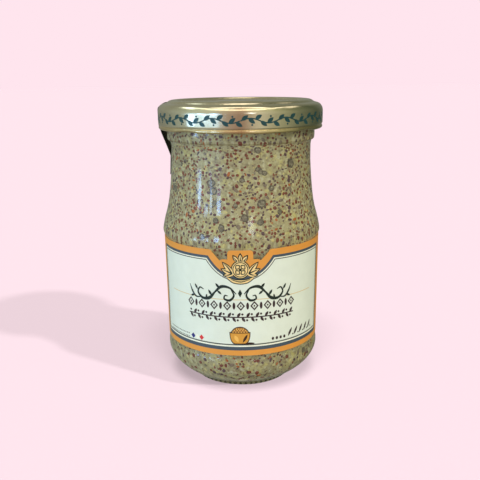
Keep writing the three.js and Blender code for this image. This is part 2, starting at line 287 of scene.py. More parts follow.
MUSTARD_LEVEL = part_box("mustard")[1].z / MM
MUSTARD_REACH = 0.05
MUSTARD_TURNS = 400
LUMPS, LUMP_SCALE, LUMP_DEPTHS = 0.13, 0.75, (0.6, 2.1, 3)
PASTE, PALE_PASTE, PASTE_SCALE = srgb(146, 139, 108), srgb(162, 156, 122), 130
# Finer clouds in the paste: the scale of each, the limits it comes in between, and its colour.
CLOUDS = (
    (380, -0.9, 0.8, srgb(184, 176, 112)),
    (620, -0.8, 0.75, srgb(188, 187, 160)),
    (1100, -0.8, 0.7, srgb(116, 104, 78)),
)
# Bits too deep or too small to be pieces: their scale, whole part, edge and share, and two colours.
SUNK_BITS, SUNK_SHOWN = (560.0, 0.12, 0.42, 0.6), 0.6
SUNK_COLOURS = (srgb(120, 84, 66), srgb(98, 88, 84))
DUST = (1150.0, 0.14, 0.26, 0.5)
DUST_COLOURS = (srgb(112, 68, 50), srgb(78, 64, 62))


def lumpy(angle, radius, height):
    """Lets the paste press unevenly into the wall by a fraction of a millimetre."""
    x, y = radius * np.cos(angle), radius * np.sin(angle)
    grain = [noise.fractal(Vector(p) * LUMP_SCALE, *LUMP_DEPTHS) for p in zip(x.flat, y.flat, height.flat)]
    grain = np.clip(0.5 + 0.6 * np.array(grain).reshape(radius.shape), 0, 1)
    return radius + LUMPS * grain * (radius > FLOOR_RADIUS), height


def flecks(tree, place, scale, near, far, share):
    """Round flecks a little apart: how much each covers, and a steady random value for its colour."""
    cells = node(tree, "TexVoronoi", {"Vector": place, "Scale": scale})
    pick = node(tree, "SeparateColor", {"Color": cells.outputs["Color"]})
    chosen = worked_out(tree, "LESS_THAN", pick.outputs[0], share)
    cover = share_between(tree, cells.outputs["Distance"], far, near)
    return worked_out(tree, "MULTIPLY", cover, chosen), pick.outputs[1]


def ground_mustard():
    """Creamy olive paste, cloudy in several sizes, with sunk bits that show dimly and fine dust on top."""
    finish, tree, shader, place = new_finish("ground mustard", Roughness=0.5, Specular_IOR_Level=0.2)
    colour = blend(tree, uneven(tree, place, PASTE_SCALE), PASTE, PALE_PASTE)
    for scale, low, high, cloud in CLOUDS:
        colour = blend(tree, uneven(tree, place, scale, low, high), colour, cloud)
    sunk, pick = flecks(tree, place, *SUNK_BITS)
    sunk = worked_out(tree, "MULTIPLY", sunk, SUNK_SHOWN)
    colour = blend(tree, sunk, colour, blend(tree, pick, *SUNK_COLOURS))
    dust, pick = flecks(tree, place, *DUST)
    colour = blend(tree, dust, colour, blend(tree, pick, *DUST_COLOURS))
    tree.links.new(colour, shader.inputs["Base Color"])
    relief(tree, shader, uneven(tree, place, 1500), 0.1, 0.5)
    return finish


mustard_wall = glass_inside(MUSTARD_LEVEL, MUSTARD_REACH, rows=2.6)
mustard_profile = np.vstack([mustard_wall, [(0, MUSTARD_LEVEL)]])
mustard_form = turned(mustard_profile, MUSTARD_TURNS, lumpy)
mustard_core = add_piece("mustard_filling", *mustard_form, ground_mustard())
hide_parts("mustard")
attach(mustard_core, "root")


# Bits of seed in the mustard: split brown and dark hulls, orange shreds, pale kernels and grey skins.
# The grinding leaves them flat and uneven, and those at the wall lie flat against the glass.
LABEL_CLEAR_LOW, LABEL_CLEAR_HIGH = 19.0, 50.0
HEEL_SHARE = 0.42
SIZE_SPREAD, SIZE_LOW, SIZE_HIGH = 0.36, 0.3, 1.9
CHIP_FORMS, CHIP_LENGTH = 9, 1.35
CHIP_CORE, CHIP_DENTS = 0.72, 0.5
CHIP_REACH, CHIP_SUNK, CHIP_LEAN = 0.22, (0.25, 0.6), 0.1
CLUSTER_SCALE, CLUSTER, CLUSTER_MEAN = 0.16, 0.6, 0.6
PLACE_TRIES = 12
MOST_BITS = 8000
FIRST_SEED = 11
# Each kind's piece, what it is, its two colours, and its count, usual size and flatness.
KINDS = (
    ("brown_hulls", "brown seed hull", srgb(126, 70, 52), srgb(100, 54, 50), 1700, 0.95, 0.42),
    ("dark_hulls", "dark seed hull", srgb(98, 70, 78), srgb(74, 56, 60), 1250, 0.9, 0.45),
    ("orange_shreds", "orange seed shred", srgb(172, 100, 54), srgb(146, 80, 46), 240, 0.8, 0.35),
    ("pale_kernels", "pale seed kernel", srgb(190, 180, 120), srgb(176, 168, 132), 420, 1.1, 0.5),
    ("grey_skins", "grey seed skin", srgb(126, 116, 100), srgb(108, 92, 82), 420, 1.05, 0.3),
)

wall = glass_inside(MUSTARD_LEVEL, MUSTARD_REACH + LUMPS, rows=6.0)[FLOOR_STEPS + 1:]
wall_steps = np.diff(wall, axis=0)
wall_lengths = np.hypot(*wall_steps.T)
at_heel = wall[:-1, 1] < LABEL_CLEAR_LOW
wall_shown = at_heel | (wall[:-1, 1] > LABEL_CLEAR_HIGH)
wall_share = wall_lengths * wall[:-1, 0] * wall_shown * np.where(at_heel, HEEL_SHARE, 1)
wall_share = wall_share / wall_share.sum()
bits_taken = np.zeros((MOST_BITS, 4))
bits_count = 0


def at_wall(row, angle, radius, height):
    """A place at the wall: the point, its outward direction and its way up."""
    rise = wall_steps[row] / wall_lengths[row]
    up = np.array([rise[0] * math.cos(angle), rise[0] * math.sin(angle), rise[1]])
    around = np.array([-math.sin(angle), math.cos(angle), 0])
    point = np.array([radius * math.cos(angle), radius * math.sin(angle), height])
    return point, np.cross(around, up), up


def places_at_wall(draw, sizes, crowding):
    """Finds each bit a free place at the wall, clustered, and keeps it taken."""
    global bits_count
    found = []
    for size in sizes:
        for _ in range(PLACE_TRIES):
            row = draw.choice(len(wall_share), p=wall_share)
            radius, height = wall[row] + wall_steps[row] * draw.random()
            place = at_wall(row, draw.random() * 2 * math.pi, radius, height)
            patchy = noise.noise(Vector(place[0]) * CLUSTER_SCALE) * CLUSTER + CLUSTER_MEAN
            others = bits_taken[:bits_count]
            gap = np.linalg.norm(others[:, :3] - place[0], axis=1) - (others[:, 3] + size) * crowding
            if draw.random() < patchy and gap.min(initial=1) > 0:
                bits_taken[bits_count] = (*place[0], size)
                bits_count += 1
                found.append((*place, size))
                break
    return found


def rough_chip(draw, flatness, length):
    """One flat chip with a broken outline, a unit wide."""
    ball = bmesh.new()
    bmesh.ops.create_icosphere(ball, subdivisions=2, radius=1.0)
    points = np.array([v.co for v in ball.verts])
    faces = [[v.index for v in f.verts] for f in ball.faces]
    ball.free()
    lean = draw.normal(0, 1, (4, 3))
    dents = sum(np.abs(points @ (way / np.linalg.norm(way))) for way in lean) / 4
    points = points * (CHIP_CORE + CHIP_DENTS * dents)[:, None]
    return points * [length, 1.0 / length, flatness], faces


def scatter_bits(name, finish, seed, count, size, flatness):
    """Joins many chips of one kind, each turned its own way and lying flat at the wall."""
    draw = np.random.default_rng(seed)
    forms = [rough_chip(draw, flatness, draw.uniform(1.0, CHIP_LENGTH)) for _ in range(CHIP_FORMS)]
    sizes = np.clip(size * np.exp(draw.normal(0, SIZE_SPREAD, count)), SIZE_LOW, SIZE_HIGH)
    all_points, all_faces, start = [], [], 0
    for point, out, up, half in places_at_wall(draw, sizes / 2, crowding=0.8):
        points, faces = forms[draw.integers(len(forms))]
        spin = draw.uniform(0, 2 * math.pi)
        along = math.cos(spin) * up + math.sin(spin) * np.cross(out, up)
        across = np.cross(out, along)
        lie = np.stack([along, across, out + draw.normal(0, CHIP_LEAN, 3)])
        depth = half * flatness - CHIP_REACH * draw.uniform(*CHIP_SUNK)
        all_points.append(points * half @ lie + point - out * depth)
        all_faces += [[start + i for i in face] for face in faces]
        start += len(points)
    piece = add_piece(name, np.vstack(all_points), all_faces, finish)
    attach(piece, "root")


def seed_finish(name, colour, other):
    """Dull seed coat between two colours, with a fine speckle and grain."""
    finish, tree, shader, place = new_finish(name, Roughness=0.45, Specular_IOR_Level=0.25)
    fine = node(tree, "VectorMath", {0: place, 1: (1500.0, 1500.0, 1500.0)}, operation="MULTIPLY")
    speck = node(tree, "TexWhiteNoise", {"Vector": fine.outputs[0]}).outputs[0]
    light = node(tree, "MapRange", {"Value": speck, "To Min": 0.94, "To Max": 1.06}).outputs[0]
    mixed = blend(tree, uneven(tree, place, 700), colour, other)
    speckled = node(tree, "HueSaturation", {"Color": mixed, "Value": light})
    tree.links.new(speckled.outputs[0], shader.inputs["Base Color"])
    relief(tree, shader, uneven(tree, place, 3200), 0.05, 0.6)
    return finish


for i, (name, kind, colour, other, count, size, flatness) in enumerate(KINDS):
    scatter_bits(name, seed_finish(kind, colour, other), FIRST_SEED + i, count, size, flatness)


# Air bubbles caught between the mustard and the glass while the jar was filled.
# Each is flat against the wall, with painted shade on it: grey inside, and a dark ring where the paste
# turns away from the light. The front ones lie where the photograph shows them, as turn, height and width.
BUBBLES_IN_FRONT = (
    (2.4, 65.7, 2.8), (15.8, 70.4, 3.0), (-15.0, 62.1, 2.6), (-21.3, 70.7, 1.8), (14.3, 64.0, 2.2),
    (-4.7, 69.9, 1.8), (-19.8, 64.6, 2.2), (30.7, 67.0, 1.9), (13.5, 82.2, 1.7), (18.9, 80.8, 1.8),
    (0.6, 78.7, 2.0), (44.5, 83.4, 3.6), (-30.2, 58.8, 2.2),
)
BUBBLE_COUNT, BUBBLE_SEED = 44, 21
BUBBLE_SMALL, BUBBLE_LARGE, BUBBLE_BIAS = 0.9, 2.8, 2.2
BUBBLE_TURNS = 28
BUBBLE_STAND = 0.04
OVAL_LOW, OVAL_HIGH = 0.84, 1.12
EDGE_WAVES, EDGE_SWING = (2, 5), 0.05
# Where the ring of painted shade lies on each bubble, and its half width.
SHADE_RING_AT, SHADE_RING_HALF = 0.84, 0.3


def bubble_form():
    """A shallow disc one unit in radius, raised a little in a ring near its edge, as a closed shell."""
    profile = chained(
        (0, 0.05),
        ((0.6, 0.05), (0.78, 0.1), 6),
        ((0.9, 0.13), (1.0, -0.02), 4),
        ((0.9, -0.3), (0, -0.3), 4),
    )
    return turned(profile[::-1], BUBBLE_TURNS)


def bubble_painted_shade():
    """Painted shade of the hollow behind the glass: grey and wet, mottled inside and dark in the ring."""
    finish, tree, shader, place = new_finish("bubble painted shade", Roughness=0.3, Specular_IOR_Level=0.3)
    colour = blend(tree, uneven(tree, place, 900), srgb(122, 116, 98), srgb(80, 72, 64))
    colour = blend(tree, uneven(tree, place, 1500, -0.9, 0.9), colour, srgb(158, 152, 128))
    # Painted shade: the ring is darkened, as the paste turns away from the light there.
    ring_shade = node(tree, "Attribute", attribute_name="ring").outputs["Fac"]
    faint_ring_shade = worked_out(tree, "MULTIPLY", ring_shade, uneven(tree, place, 420, 0.35, 1.0))
    tree.links.new(blend(tree, faint_ring_shade, colour, srgb(56, 46, 42)), shader.inputs["Base Color"])
    relief(tree, shader, uneven(tree, place, 1600), 0.06, 0.5)
    return finish


def front_bubble(turn, height, size):
    """Place of one bubble in front, as places_at_wall gives it."""
    row = int(np.argmin(np.abs(wall[:-1, 1] - height)))
    return *at_wall(row, math.radians(turn - 90), wall[row, 0], height), size / 2


def add_bubbles():
    """Joins all bubbles, each a little oval and uneven at its edge, with its ring of painted shade marked.
    """
    draw = np.random.default_rng(BUBBLE_SEED)
    form, form_faces = bubble_form()
    around = np.arctan2(form[:, 1], form[:, 0])
    # The ring where the bubble's painted shade is darkest.
    ring_shade_share = np.clip(1 - np.abs(np.hypot(form[:, 0], form[:, 1]) - SHADE_RING_AT) / SHADE_RING_HALF, 0, 1)
    sizes = BUBBLE_SMALL + (BUBBLE_LARGE - BUBBLE_SMALL) * draw.random(BUBBLE_COUNT) ** BUBBLE_BIAS
    places = [front_bubble(*bubble) for bubble in BUBBLES_IN_FRONT]
    places += places_at_wall(draw, sizes / 2, crowding=0.4)
    all_points, all_faces = [], []
    for i, (point, out, up, half) in enumerate(places):
        lie = np.stack([np.cross(up, out), up, out])
        stretch = [draw.uniform(OVAL_LOW, OVAL_HIGH), 1.0, 1.0]
        edge = 1.0
        for waves in EDGE_WAVES:
            edge = edge + EDGE_SWING * np.sin(waves * around + draw.uniform(0, 6))
        outline = np.stack([edge, edge, np.ones(len(form))], axis=1)
        all_points.append(form * outline * stretch * half @ lie + point + out * BUBBLE_STAND)
        all_faces += [[i * len(form) + k for k in face] for face in form_faces]
    piece = add_piece("air_bubbles", np.vstack(all_points), all_faces, bubble_painted_shade())
    marked = piece.data.attributes.new("ring", "FLOAT", "POINT")
    marked.data.foreach_set("value", np.tile(ring_shade_share, len(places)).astype(np.float32))
    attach(piece, "root")


add_bubbles()


# Paper label: one coated sheet wrapped round the sunk panel and glued, its ends nearly meeting behind.
# The top edge is die-cut in front, with a rounded tab between two notches. The ground print is orange.
label_low, label_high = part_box("label")
LABEL_FOOT, LABEL_HEAD = label_low.z / MM, label_high.z / MM
LABEL_OUTER, LABEL_THICKNESS = label_high.x / MM, 0.15
LABEL_TAPER = (PANEL_HIGH_RADIUS - PANEL_LOW_RADIUS) / (PANEL_HIGH - PANEL_LOW)
LABEL_TURN = math.radians(-1.2)
SEAM_GAP = 1.5
TAB_HALF, TAB_CORNER = 4.5, 1.3
STEP_HALF, STEP_DEPTH = 6.5, 3.25
NOTCH_HALF, NOTCH_DEPTH = 7.3, 3.75
SLOPE_HALF, SLOPE_CORNER = 10.5, 0.8
STRIP_WIDTH = 1.5
INK = 0.016


def label_outline():
    """The flat sheet's outline, its middle below the tab: lengths along it and heights."""
    half = math.pi * LABEL_OUTER - SEAM_GAP / 2
    shift = -LABEL_TURN * LABEL_OUTER
    right_side = np.vstack([
        [(SLOPE_HALF + SLOPE_CORNER, LABEL_HEAD)],
        curve((SLOPE_HALF + SLOPE_CORNER, LABEL_HEAD), (SLOPE_HALF, LABEL_HEAD),
              (SLOPE_HALF - SLOPE_CORNER / 2, LABEL_HEAD - SLOPE_CORNER), steps=6),
        [(NOTCH_HALF, LABEL_HEAD - NOTCH_DEPTH)],
        [(STEP_HALF, LABEL_HEAD - STEP_DEPTH)],
        [(TAB_HALF, LABEL_HEAD - STEP_DEPTH)],
        [(TAB_HALF, LABEL_HEAD - TAB_CORNER)],
        curve((TAB_HALF, LABEL_HEAD - TAB_CORNER), (TAB_HALF, LABEL_HEAD),
              (TAB_HALF - TAB_CORNER, LABEL_HEAD), steps=8),
    ])
    left_side = right_side[::-1] * [-1, 1]
    corners = [(-half + shift, LABEL_HEAD), (-half + shift, LABEL_FOOT), (half + shift, LABEL_FOOT)]
    return np.vstack([left_side, corners, [(half + shift, LABEL_HEAD)], right_side])


def filled(outline):
    """A flat patch inside an outline, cut into upright strips narrow enough to bend round the jar."""
    sheet = bmesh.new()
    loop = [Vector((s, z, 0)) for s, z in outline]
    corners = [sheet.verts.new(p) for p in loop]
    for triangle in tessellate_polygon([loop]):
        sheet.faces.new([corners[i] for i in triangle])
    left, right = min(p.x for p in loop), max(p.x for p in loop)
    for cut in np.arange(math.ceil(left / STRIP_WIDTH) * STRIP_WIDTH, right, STRIP_WIDTH):
        parts = sheet.verts[:] + sheet.edges[:] + sheet.faces[:]
        bmesh.ops.bisect_plane(sheet, geom=parts, dist=1e-4, plane_co=(cut, 0, 0), plane_no=(1, 0, 0))
    bmesh.ops.dissolve_degenerate(sheet, dist=1e-4, edges=sheet.edges[:])
    bmesh.ops.triangulate(sheet, faces=[f for f in sheet.faces if len(f.verts) > 3])
    sheet.verts.index_update()
    points = np.array([v.co[:2] for v in sheet.verts])
    faces = [[v.index for v in f.verts] for f in sheet.faces]
    sheet.free()
    return points, [face if area(points[face]) > 0 else face[::-1] for face in faces]


def area(corners):
    """Signed area of a flat outline, above nought when it runs anticlockwise."""
    ahead = np.roll(corners, -1, axis=0)
    return 0.5 * np.sum(corners[:, 0] * ahead[:, 1] - ahead[:, 0] * corners[:, 1])


def wrapped_plate(patches, inner, outer, turn=LABEL_TURN, taper=LABEL_TAPER):
    """Bends outlines, filled, and strips of faces round the jar as closed plates between two radii."""
    all_points, all_faces, start = [], [], 0
    for patch in patches:
        points, faces = patch if isinstance(patch, tuple) else filled(patch)
        angle = points[:, 0] / outer + turn
        widening = (points[:, 1] - LABEL_HEAD) * taper
        side = np.stack([np.sin(angle), -np.cos(angle)], axis=1)
        skins = [np.column_stack([side * (r + widening)[:, None], points[:, 1]]) for r in (inner, outer)]
        count = len(points)
        edges = {}
        for face in faces:
            for a, b in zip(face, face[1:] + face[:1]):
                edges[(a, b)] = edges.get((b, a)) is None
                if (b, a) in edges:
                    edges[(b, a)] = False
        walls = [[a, b, b + count, a + count] for (a, b), lone in edges.items() if lone]
        tops = [[i + count for i in face] for face in faces]
        unders = [face[::-1] for face in faces]
        all_points.append(np.vstack(skins))
        all_faces += [[start + i for i in face] for face in tops + unders + walls]
        start += 2 * count
    return np.vstack(all_points), all_faces


def coated_paper(name, colour, roughness=0.42):
    """Printed and varnished paper: an even colour with a faint cloudiness and a fibrous surface."""
    finish, tree, shader, place = new_finish(name, Specular_IOR_Level=0.4)
    lighter = tuple(min(1.0, c * 1.02) for c in colour[:3]) + (1,)
    darker = tuple(c * 0.975 for c in colour[:3]) + (1,)
    tone = blend(tree, uneven(tree, place, 260), darker, lighter)
    tree.links.new(tone, shader.inputs["Base Color"])
    gloss = uneven(tree, place, 500, roughness - 0.06, roughness + 0.06)
    tree.links.new(gloss, shader.inputs["Roughness"])
    relief(tree, shader, uneven(tree, place, 1800, detail=6.0), 0.03, 0.35)
    return finish


def print_on_label(name, patches, layer, finish):
    """One ink of the label as thin raised plates, a given number of ink layers up."""
    low = LABEL_OUTER + (layer - 1.5) * INK
    piece = add_piece(name, *wrapped_plate(patches, low, low + 1.5 * INK), finish, sharp=40)
    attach(piece, "root")


orange_print = coated_paper("orange print", srgb(214, 146, 66))
label_sheet = wrapped_plate([label_outline()], LABEL_OUTER - LABEL_THICKNESS, LABEL_OUTER)
label = add_piece("paper_label", *label_sheet, orange_print, sharp=40)
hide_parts("label")
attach(label, "root")


# Front panel of the label: a pale green field framed by a slate band, a white line and a fine rule.
# The frame dips in the middle to leave room for the ornament. All of it is printed, ink over ink.
PANEL_SIDE, PANEL_HEAD, PANEL_FOOT = 37.2, 52.9, 18.2
DIP_HALF, DIP_FLOOR, DIP_FLOOR_HALF, DIP_PULL = 11.6, 45.7, 6.0, (9.2, 49.4)
SLATE_BAND, WHITE_LINE, FINE_RULE = 0.95, 0.38, 0.34
FOOT_SHARE = 1.45


def panel_outline(inset):
    """Outline of the front panel drawn in by an inset, and by more than that at the foot."""
    side, head, foot = PANEL_SIDE - inset, PANEL_HEAD - inset, PANEL_FOOT + inset * FOOT_SHARE
    dip = chained((DIP_HALF, PANEL_HEAD), (DIP_PULL, (DIP_FLOOR_HALF, DIP_FLOOR), (0, DIP_FLOOR), 14))
    ahead = np.gradient(dip, axis=0)
    ahead /= np.linalg.norm(ahead, axis=1)[:, None]
    moved = dip + inset * np.stack([-ahead[:, 1], ahead[:, 0]], axis=1)
    moved[-1] = (0, DIP_FLOOR - inset)
    slope = math.atan2(-ahead[0, 1], -ahead[0, 0])
    moved[0] = (DIP_HALF + inset * math.tan(slope / 2), head)
    moved = moved[(moved[:, 1] <= head + 1e-6)]
    left = moved[:-1][::-1] * [-1, 1]
    return np.vstack([moved, left, [(-side, head), (-side, foot), (side, foot), (side, head)]])


slate_print = coated_paper("slate print", srgb(66, 80, 94))
white_print = coated_paper("white print", srgb(232, 234, 220))
rule_print = coated_paper("fine rule print", srgb(78, 84, 82))
field_print = coated_paper("pale green print", srgb(215, 224, 216))
print_on_label("frame_slate", [panel_outline(0)], 1, slate_print)
print_on_label("frame_white", [panel_outline(SLATE_BAND)], 2, white_print)
print_on_label("frame_rule", [panel_outline(SLATE_BAND + WHITE_LINE)], 3, rule_print)
field_inset = SLATE_BAND + WHITE_LINE + FINE_RULE
print_on_label("front_field", [panel_outline(field_inset)], 4, field_print)


# Back panels of the label, one each side of the seam, printed in the same inks.
# Each is a plain pale field framed by a slate line.
BACK_LEFT, BACK_RIGHT = 46.0, 87.5
BACK_HEAD, BACK_FOOT = 52.4, 18.6
BACK_FRAME = 0.7


def back_panel(side, inset):
    """A rectangle left or right of the seam, drawn in by an inset."""
    near, far = BACK_LEFT + inset, BACK_RIGHT - inset
    head, foot = BACK_HEAD - inset, BACK_FOOT + inset
    corners = [(near, foot), (far, foot), (far, head), (near, head)]
    return np.array(corners, float) * [side, 1]


for side, hand in ((-1, "left"), (1, "right")):
    print_on_label(f"back_frame_{hand}", [back_panel(side, 0)], 1, slate_print)
    print_on_label(f"back_field_{hand}", [back_panel(side, BACK_FRAME)], 2, field_print)


# Gold ornament in the dip of the frame: a round flower badge with a leafy spray at each side,
# three buds above and a curved band below. It is printed gold over a dark green outline.
BADGE_HEIGHT, BADGE_RADIUS = 48.3, 3.0
OUTLINE = 0.36
SPRAY_BASE, SPRAY_HEIGHT = 2.4, 46.6
LEAF_SPRAY = ((6.0, 50.6, 1.5), (6.5, 48.3, 1.5), (5.7, 46.2, 1.4))
BUD_HEIGHT, BUD_WIDTH = 51.0, 1.1
BUDS = ((-2.3, 53.1), (0.0, 53.7), (2.3, 53.1))
BAND = ((-4.6, 45.4), (-2.4, 44.2), (0, 43.9), (2.4, 44.2), (4.6, 45.4))
BAND_WIDTHS = (0.3, 1.0, 1.2, 1.0, 0.3)
LEAF_STEPS = 7


def oval(centre, half_width, half_height, steps=24):
    """A round or oval outline."""
    around = np.arange(steps) * 2 * math.pi / steps
    way = np.stack([np.cos(around), np.sin(around)], axis=1)
    return np.array(centre) + way * [half_width, half_height]


def leaf(base, tip, width):
    """A pointed leaf from its base to its tip."""
    base, tip = np.array(base, float), np.array(tip, float)
    aside = np.array([base[1] - tip[1], tip[0] - base[0]]) / np.linalg.norm(tip - base) * width
    middle = base * 0.55 + tip * 0.45
    return chained(tip, (middle - aside, base, LEAF_STEPS), (middle + aside, tip, LEAF_STEPS))[1:]


def stroke(points, widths, steps=7):
    """A pen stroke through the points, swelling and thinning by the widths, as a strip of quads."""
    points, widths = np.array(points, float), np.array(widths, float)
    knots = np.vstack([2 * points[0] - points[1], points, 2 * points[-1] - points[-2]])
    path, breadth = [], []
    for i in range(len(points) - 1):
        a, b, c, d = knots[i:i + 4]
        for t in np.arange(steps) / steps:
            path.append(0.5 * (2 * b + (c - a) * t + (2 * a - 5 * b + 4 * c - d) * t * t
                               + (3 * b - 3 * c + d - a) * t ** 3))
            breadth.append(widths[i] * (1 - t) + widths[i + 1] * t)
    path, breadth = np.array(path + [points[-1]]), np.array(breadth + [widths[-1]])
    ahead = np.gradient(path, axis=0)
    ahead /= np.linalg.norm(ahead, axis=1)[:, None]
    aside = np.stack([-ahead[:, 1], ahead[:, 0]], axis=1) * breadth[:, None] / 2
    count = len(path)
    faces = [[i + count, i + count + 1, i + 1, i] for i in range(count - 1)]
    return np.vstack([path + aside, path - aside]), faces


def ring(centre, radius, width, steps):
    """A thin round line."""
    outer, inner = radius + width / 2, radius - width / 2
    points = np.vstack([oval(centre, outer, outer, steps), oval(centre, inner, inner, steps)])
    faces = [[i, (i + 1) % steps, (i + 1) % steps + steps, i + steps] for i in range(steps)]
    return points, faces


def ornament(grow):
    """Patches of the badge, sprays, buds and band, each made larger all round by an amount."""
    patches = [oval((0, BADGE_HEIGHT), BADGE_RADIUS + grow, BADGE_RADIUS + grow, 32)]
    leaves = [((side * SPRAY_BASE, SPRAY_HEIGHT), (side * out, height), width + grow * 1.6)
              for side in (-1, 1) for out, height, width in LEAF_SPRAY]
    leaves += [((out * 0.35, BUD_HEIGHT), (out, height), BUD_WIDTH + grow * 1.5) for out, height in BUDS]
    for base, tip, width in leaves:
        base, tip = np.array(base), np.array(tip)
        reach = (tip - base) / np.linalg.norm(tip - base) * grow * 1.8
        patches.append(leaf(base, tip + reach, width))
    patches.append(stroke(BAND, np.array(BAND_WIDTHS) + 2 * grow))
    return patches


def ornament_lines():
    """Dark lines on the gold: a ring, four petals, and a rib on every leaf."""
    centre = np.array([0, BADGE_HEIGHT])
    patches = [ring(centre, BADGE_RADIUS - 0.4, 0.3, 40), oval(centre, 0.5, 0.5, 12)]
    for quarter in range(4):
        angle = math.pi / 4 + quarter * math.pi / 2
        way = np.array([math.cos(angle), math.sin(angle)])
        across = np.array([-way[1], way[0]])
        tip = centre + way * 2.2
        for side in (-1, 1):
            petal = [centre + way * 0.6, centre + way * 1.3 + across * side * 0.85, tip]
            patches.append(stroke(petal, (0.3, 0.4, 0.3), steps=6))
    for side in (-1, 1):
        for out, height, _ in LEAF_SPRAY:
            rise = height - SPRAY_HEIGHT
            rib = [(side * 2.9, 46.9), (side * out * 0.72, SPRAY_HEIGHT + rise * 0.62),
                   (side * out * 0.93, SPRAY_HEIGHT + rise * 0.92)]
            patches.append(stroke(rib, (0.5, 0.4, 0.15), steps=4))
    for out, height in BUDS:
        patches.append(stroke([(out * 0.5, 51.3), (out * 0.95, height - 0.5)], (0.5, 0.15), steps=4))
    patches.append(stroke([(-3.4, 44.75), (0, 43.9), (3.4, 44.75)], (0.2, 0.4, 0.2), steps=8))
    return patches


gold_print = coated_paper("gold print", srgb(232, 204, 146), roughness=0.34)
green_print = coated_paper("dark green print", srgb(24, 38, 36))
print_on_label("ornament_outline", ornament(OUTLINE), 5, green_print)
print_on_label("ornament_gold", ornament(0), 6, gold_print)
print_on_label("ornament_lines", ornament_lines(), 7, green_print)


# Scrollwork across the middle of the panel, printed over a thin gold rule.
# Two mirrored pen scrolls with small leaves spring from a lozenge, in the same dark green.
SCROLL_CENTRE = (-0.2, 39.7)
GOLD_RULE_HALF, GOLD_RULE_HEIGHT, GOLD_RULE_WIDTH = 30.0, 37.3, 0.24
# Pen strokes of the right half, each as its points and its widths there: the scroll, its curl, its tail.
SCROLL_STROKES = (
    (((1.4, -0.3), (3.6, 1.9), (6.6, 2.3), (9.0, 0.2), (11.2, -2.2), (14.0, -2.5), (15.8, -0.6),
      (15.0, 1.2), (13.5, 0.7)), (0.3, 0.7, 1.15, 0.65, 1.2, 0.95, 0.65, 0.55, 0.3)),
    (((3.2, 1.4), (2.2, -0.8), (3.6, -2.6), (5.6, -2.2), (5.4, -0.9), (4.4, -1.0)),
     (0.3, 0.65, 0.9, 0.65, 0.5, 0.3)),
    (((14.6, -2.3), (16.8, -2.4), (18.4, -0.6), (19.4, 1.8)), (0.3, 0.6, 0.7, 0.2)),
)
# Small leaves on the scroll, each as its base, tip and width.
SCROLL_LEAVES = (
    ((7.4, 1.7), (8.8, 3.4), 0.9), ((8.2, 0.8), (6.6, -0.6), 0.8), ((10.3, -1.3), (11.6, 0.8), 0.9),
    ((12.6, -2.6), (12.2, -0.9), 0.7), ((17.4, -1.8), (19.2, -2.6), 0.8), ((16.0, 0.3), (17.2, 2.3), 0.8),
)


def lozenge(centre, half_width, half_height):
    """A square on edge, wider or taller as its halves say."""
    s, z = centre
    corners = [(s + half_width, z), (s, z + half_height), (s - half_width, z), (s, z - half_height)]
    return np.array(corners, float)


def scrollwork():
    """Both halves of the scroll, the right one as written and the left one its mirror image."""
    patches = [lozenge(SCROLL_CENTRE, 0.75, 1.5)]
    for side in (-1, 1):
        for points, widths in SCROLL_STROKES:
            patches.append(stroke(np.array(points) * [side, 1] + SCROLL_CENTRE, widths))
        for base, tip, width in SCROLL_LEAVES:
            base, tip = np.array([base, tip]) * [side, 1] + SCROLL_CENTRE
            patches.append(leaf(base, tip, width))
    return patches


gold_rule_ends = [(-GOLD_RULE_HALF, GOLD_RULE_HEIGHT), (GOLD_RULE_HALF, GOLD_RULE_HEIGHT)]
gold_rule = stroke(gold_rule_ends, (GOLD_RULE_WIDTH, GOLD_RULE_WIDTH), steps=48)
rule_gold_print = coated_paper("gold rule print", srgb(208, 184, 132), roughness=0.34)
print_on_label("gold_rule", [gold_rule], 5, rule_gold_print)
print_on_label("scrollwork", scrollwork(), 6, green_print)


# Two rows of small printed ornaments across the panel, in a dark maroon.
# The upper row alternates open lozenges with seeds, and the lower one is a running spray of leaves.
UPPER_ROW_HEIGHT, UPPER_ROW_HALF, UPPER_ROW_COUNT = 35.0, 19.4, 17
LOWER_ROW_HEIGHT, LOWER_ROW_HALF, LOWER_ROW_COUNT = 30.8, 20.4, 24


def open_lozenge(centre, half_width, half_height, width):
    """A lozenge drawn as a line."""
    corners = lozenge(centre, half_width, half_height)
    inner = lozenge(centre, half_width - width, half_height - width * half_height / half_width)
    faces = [[i, (i + 1) % 4, (i + 1) % 4 + 4, i + 4] for i in range(4)]
    return np.vstack([corners, inner]), faces


def upper_row():
    """Open lozenges with a small one inside, and an upright seed between each two."""
    patches = []
    for i, s in enumerate(np.linspace(-UPPER_ROW_HALF, UPPER_ROW_HALF, UPPER_ROW_COUNT)):
        if i % 2:
            patches.append(oval((s, UPPER_ROW_HEIGHT), 0.5, 1.3, 16))
        else:
            patches.append(open_lozenge((s, UPPER_ROW_HEIGHT), 1.5, 1.75, 0.6))
            patches.append(lozenge((s, UPPER_ROW_HEIGHT), 0.36, 0.45))
    return patches


def lower_row():
    """A stem with leaves and berries, above and below it in turn."""
    ends = np.array([(-LOWER_ROW_HALF, 0), (LOWER_ROW_HALF, 0)]) + [0, LOWER_ROW_HEIGHT]
    patches = [stroke(ends, (0.42, 0.42), steps=36)]
    for i, s in enumerate(np.linspace(-LOWER_ROW_HALF + 0.6, LOWER_ROW_HALF - 1.6, LOWER_ROW_COUNT)):
        side = 1 if i % 2 else -1
        base = (s, LOWER_ROW_HEIGHT)
        patches.append(leaf(base, (s + 1.2, LOWER_ROW_HEIGHT + side * 1.75), 1.0))
        patches.append(oval((s + 0.2, LOWER_ROW_HEIGHT - side * 1.1), 0.4, 0.4, 10))
    return patches


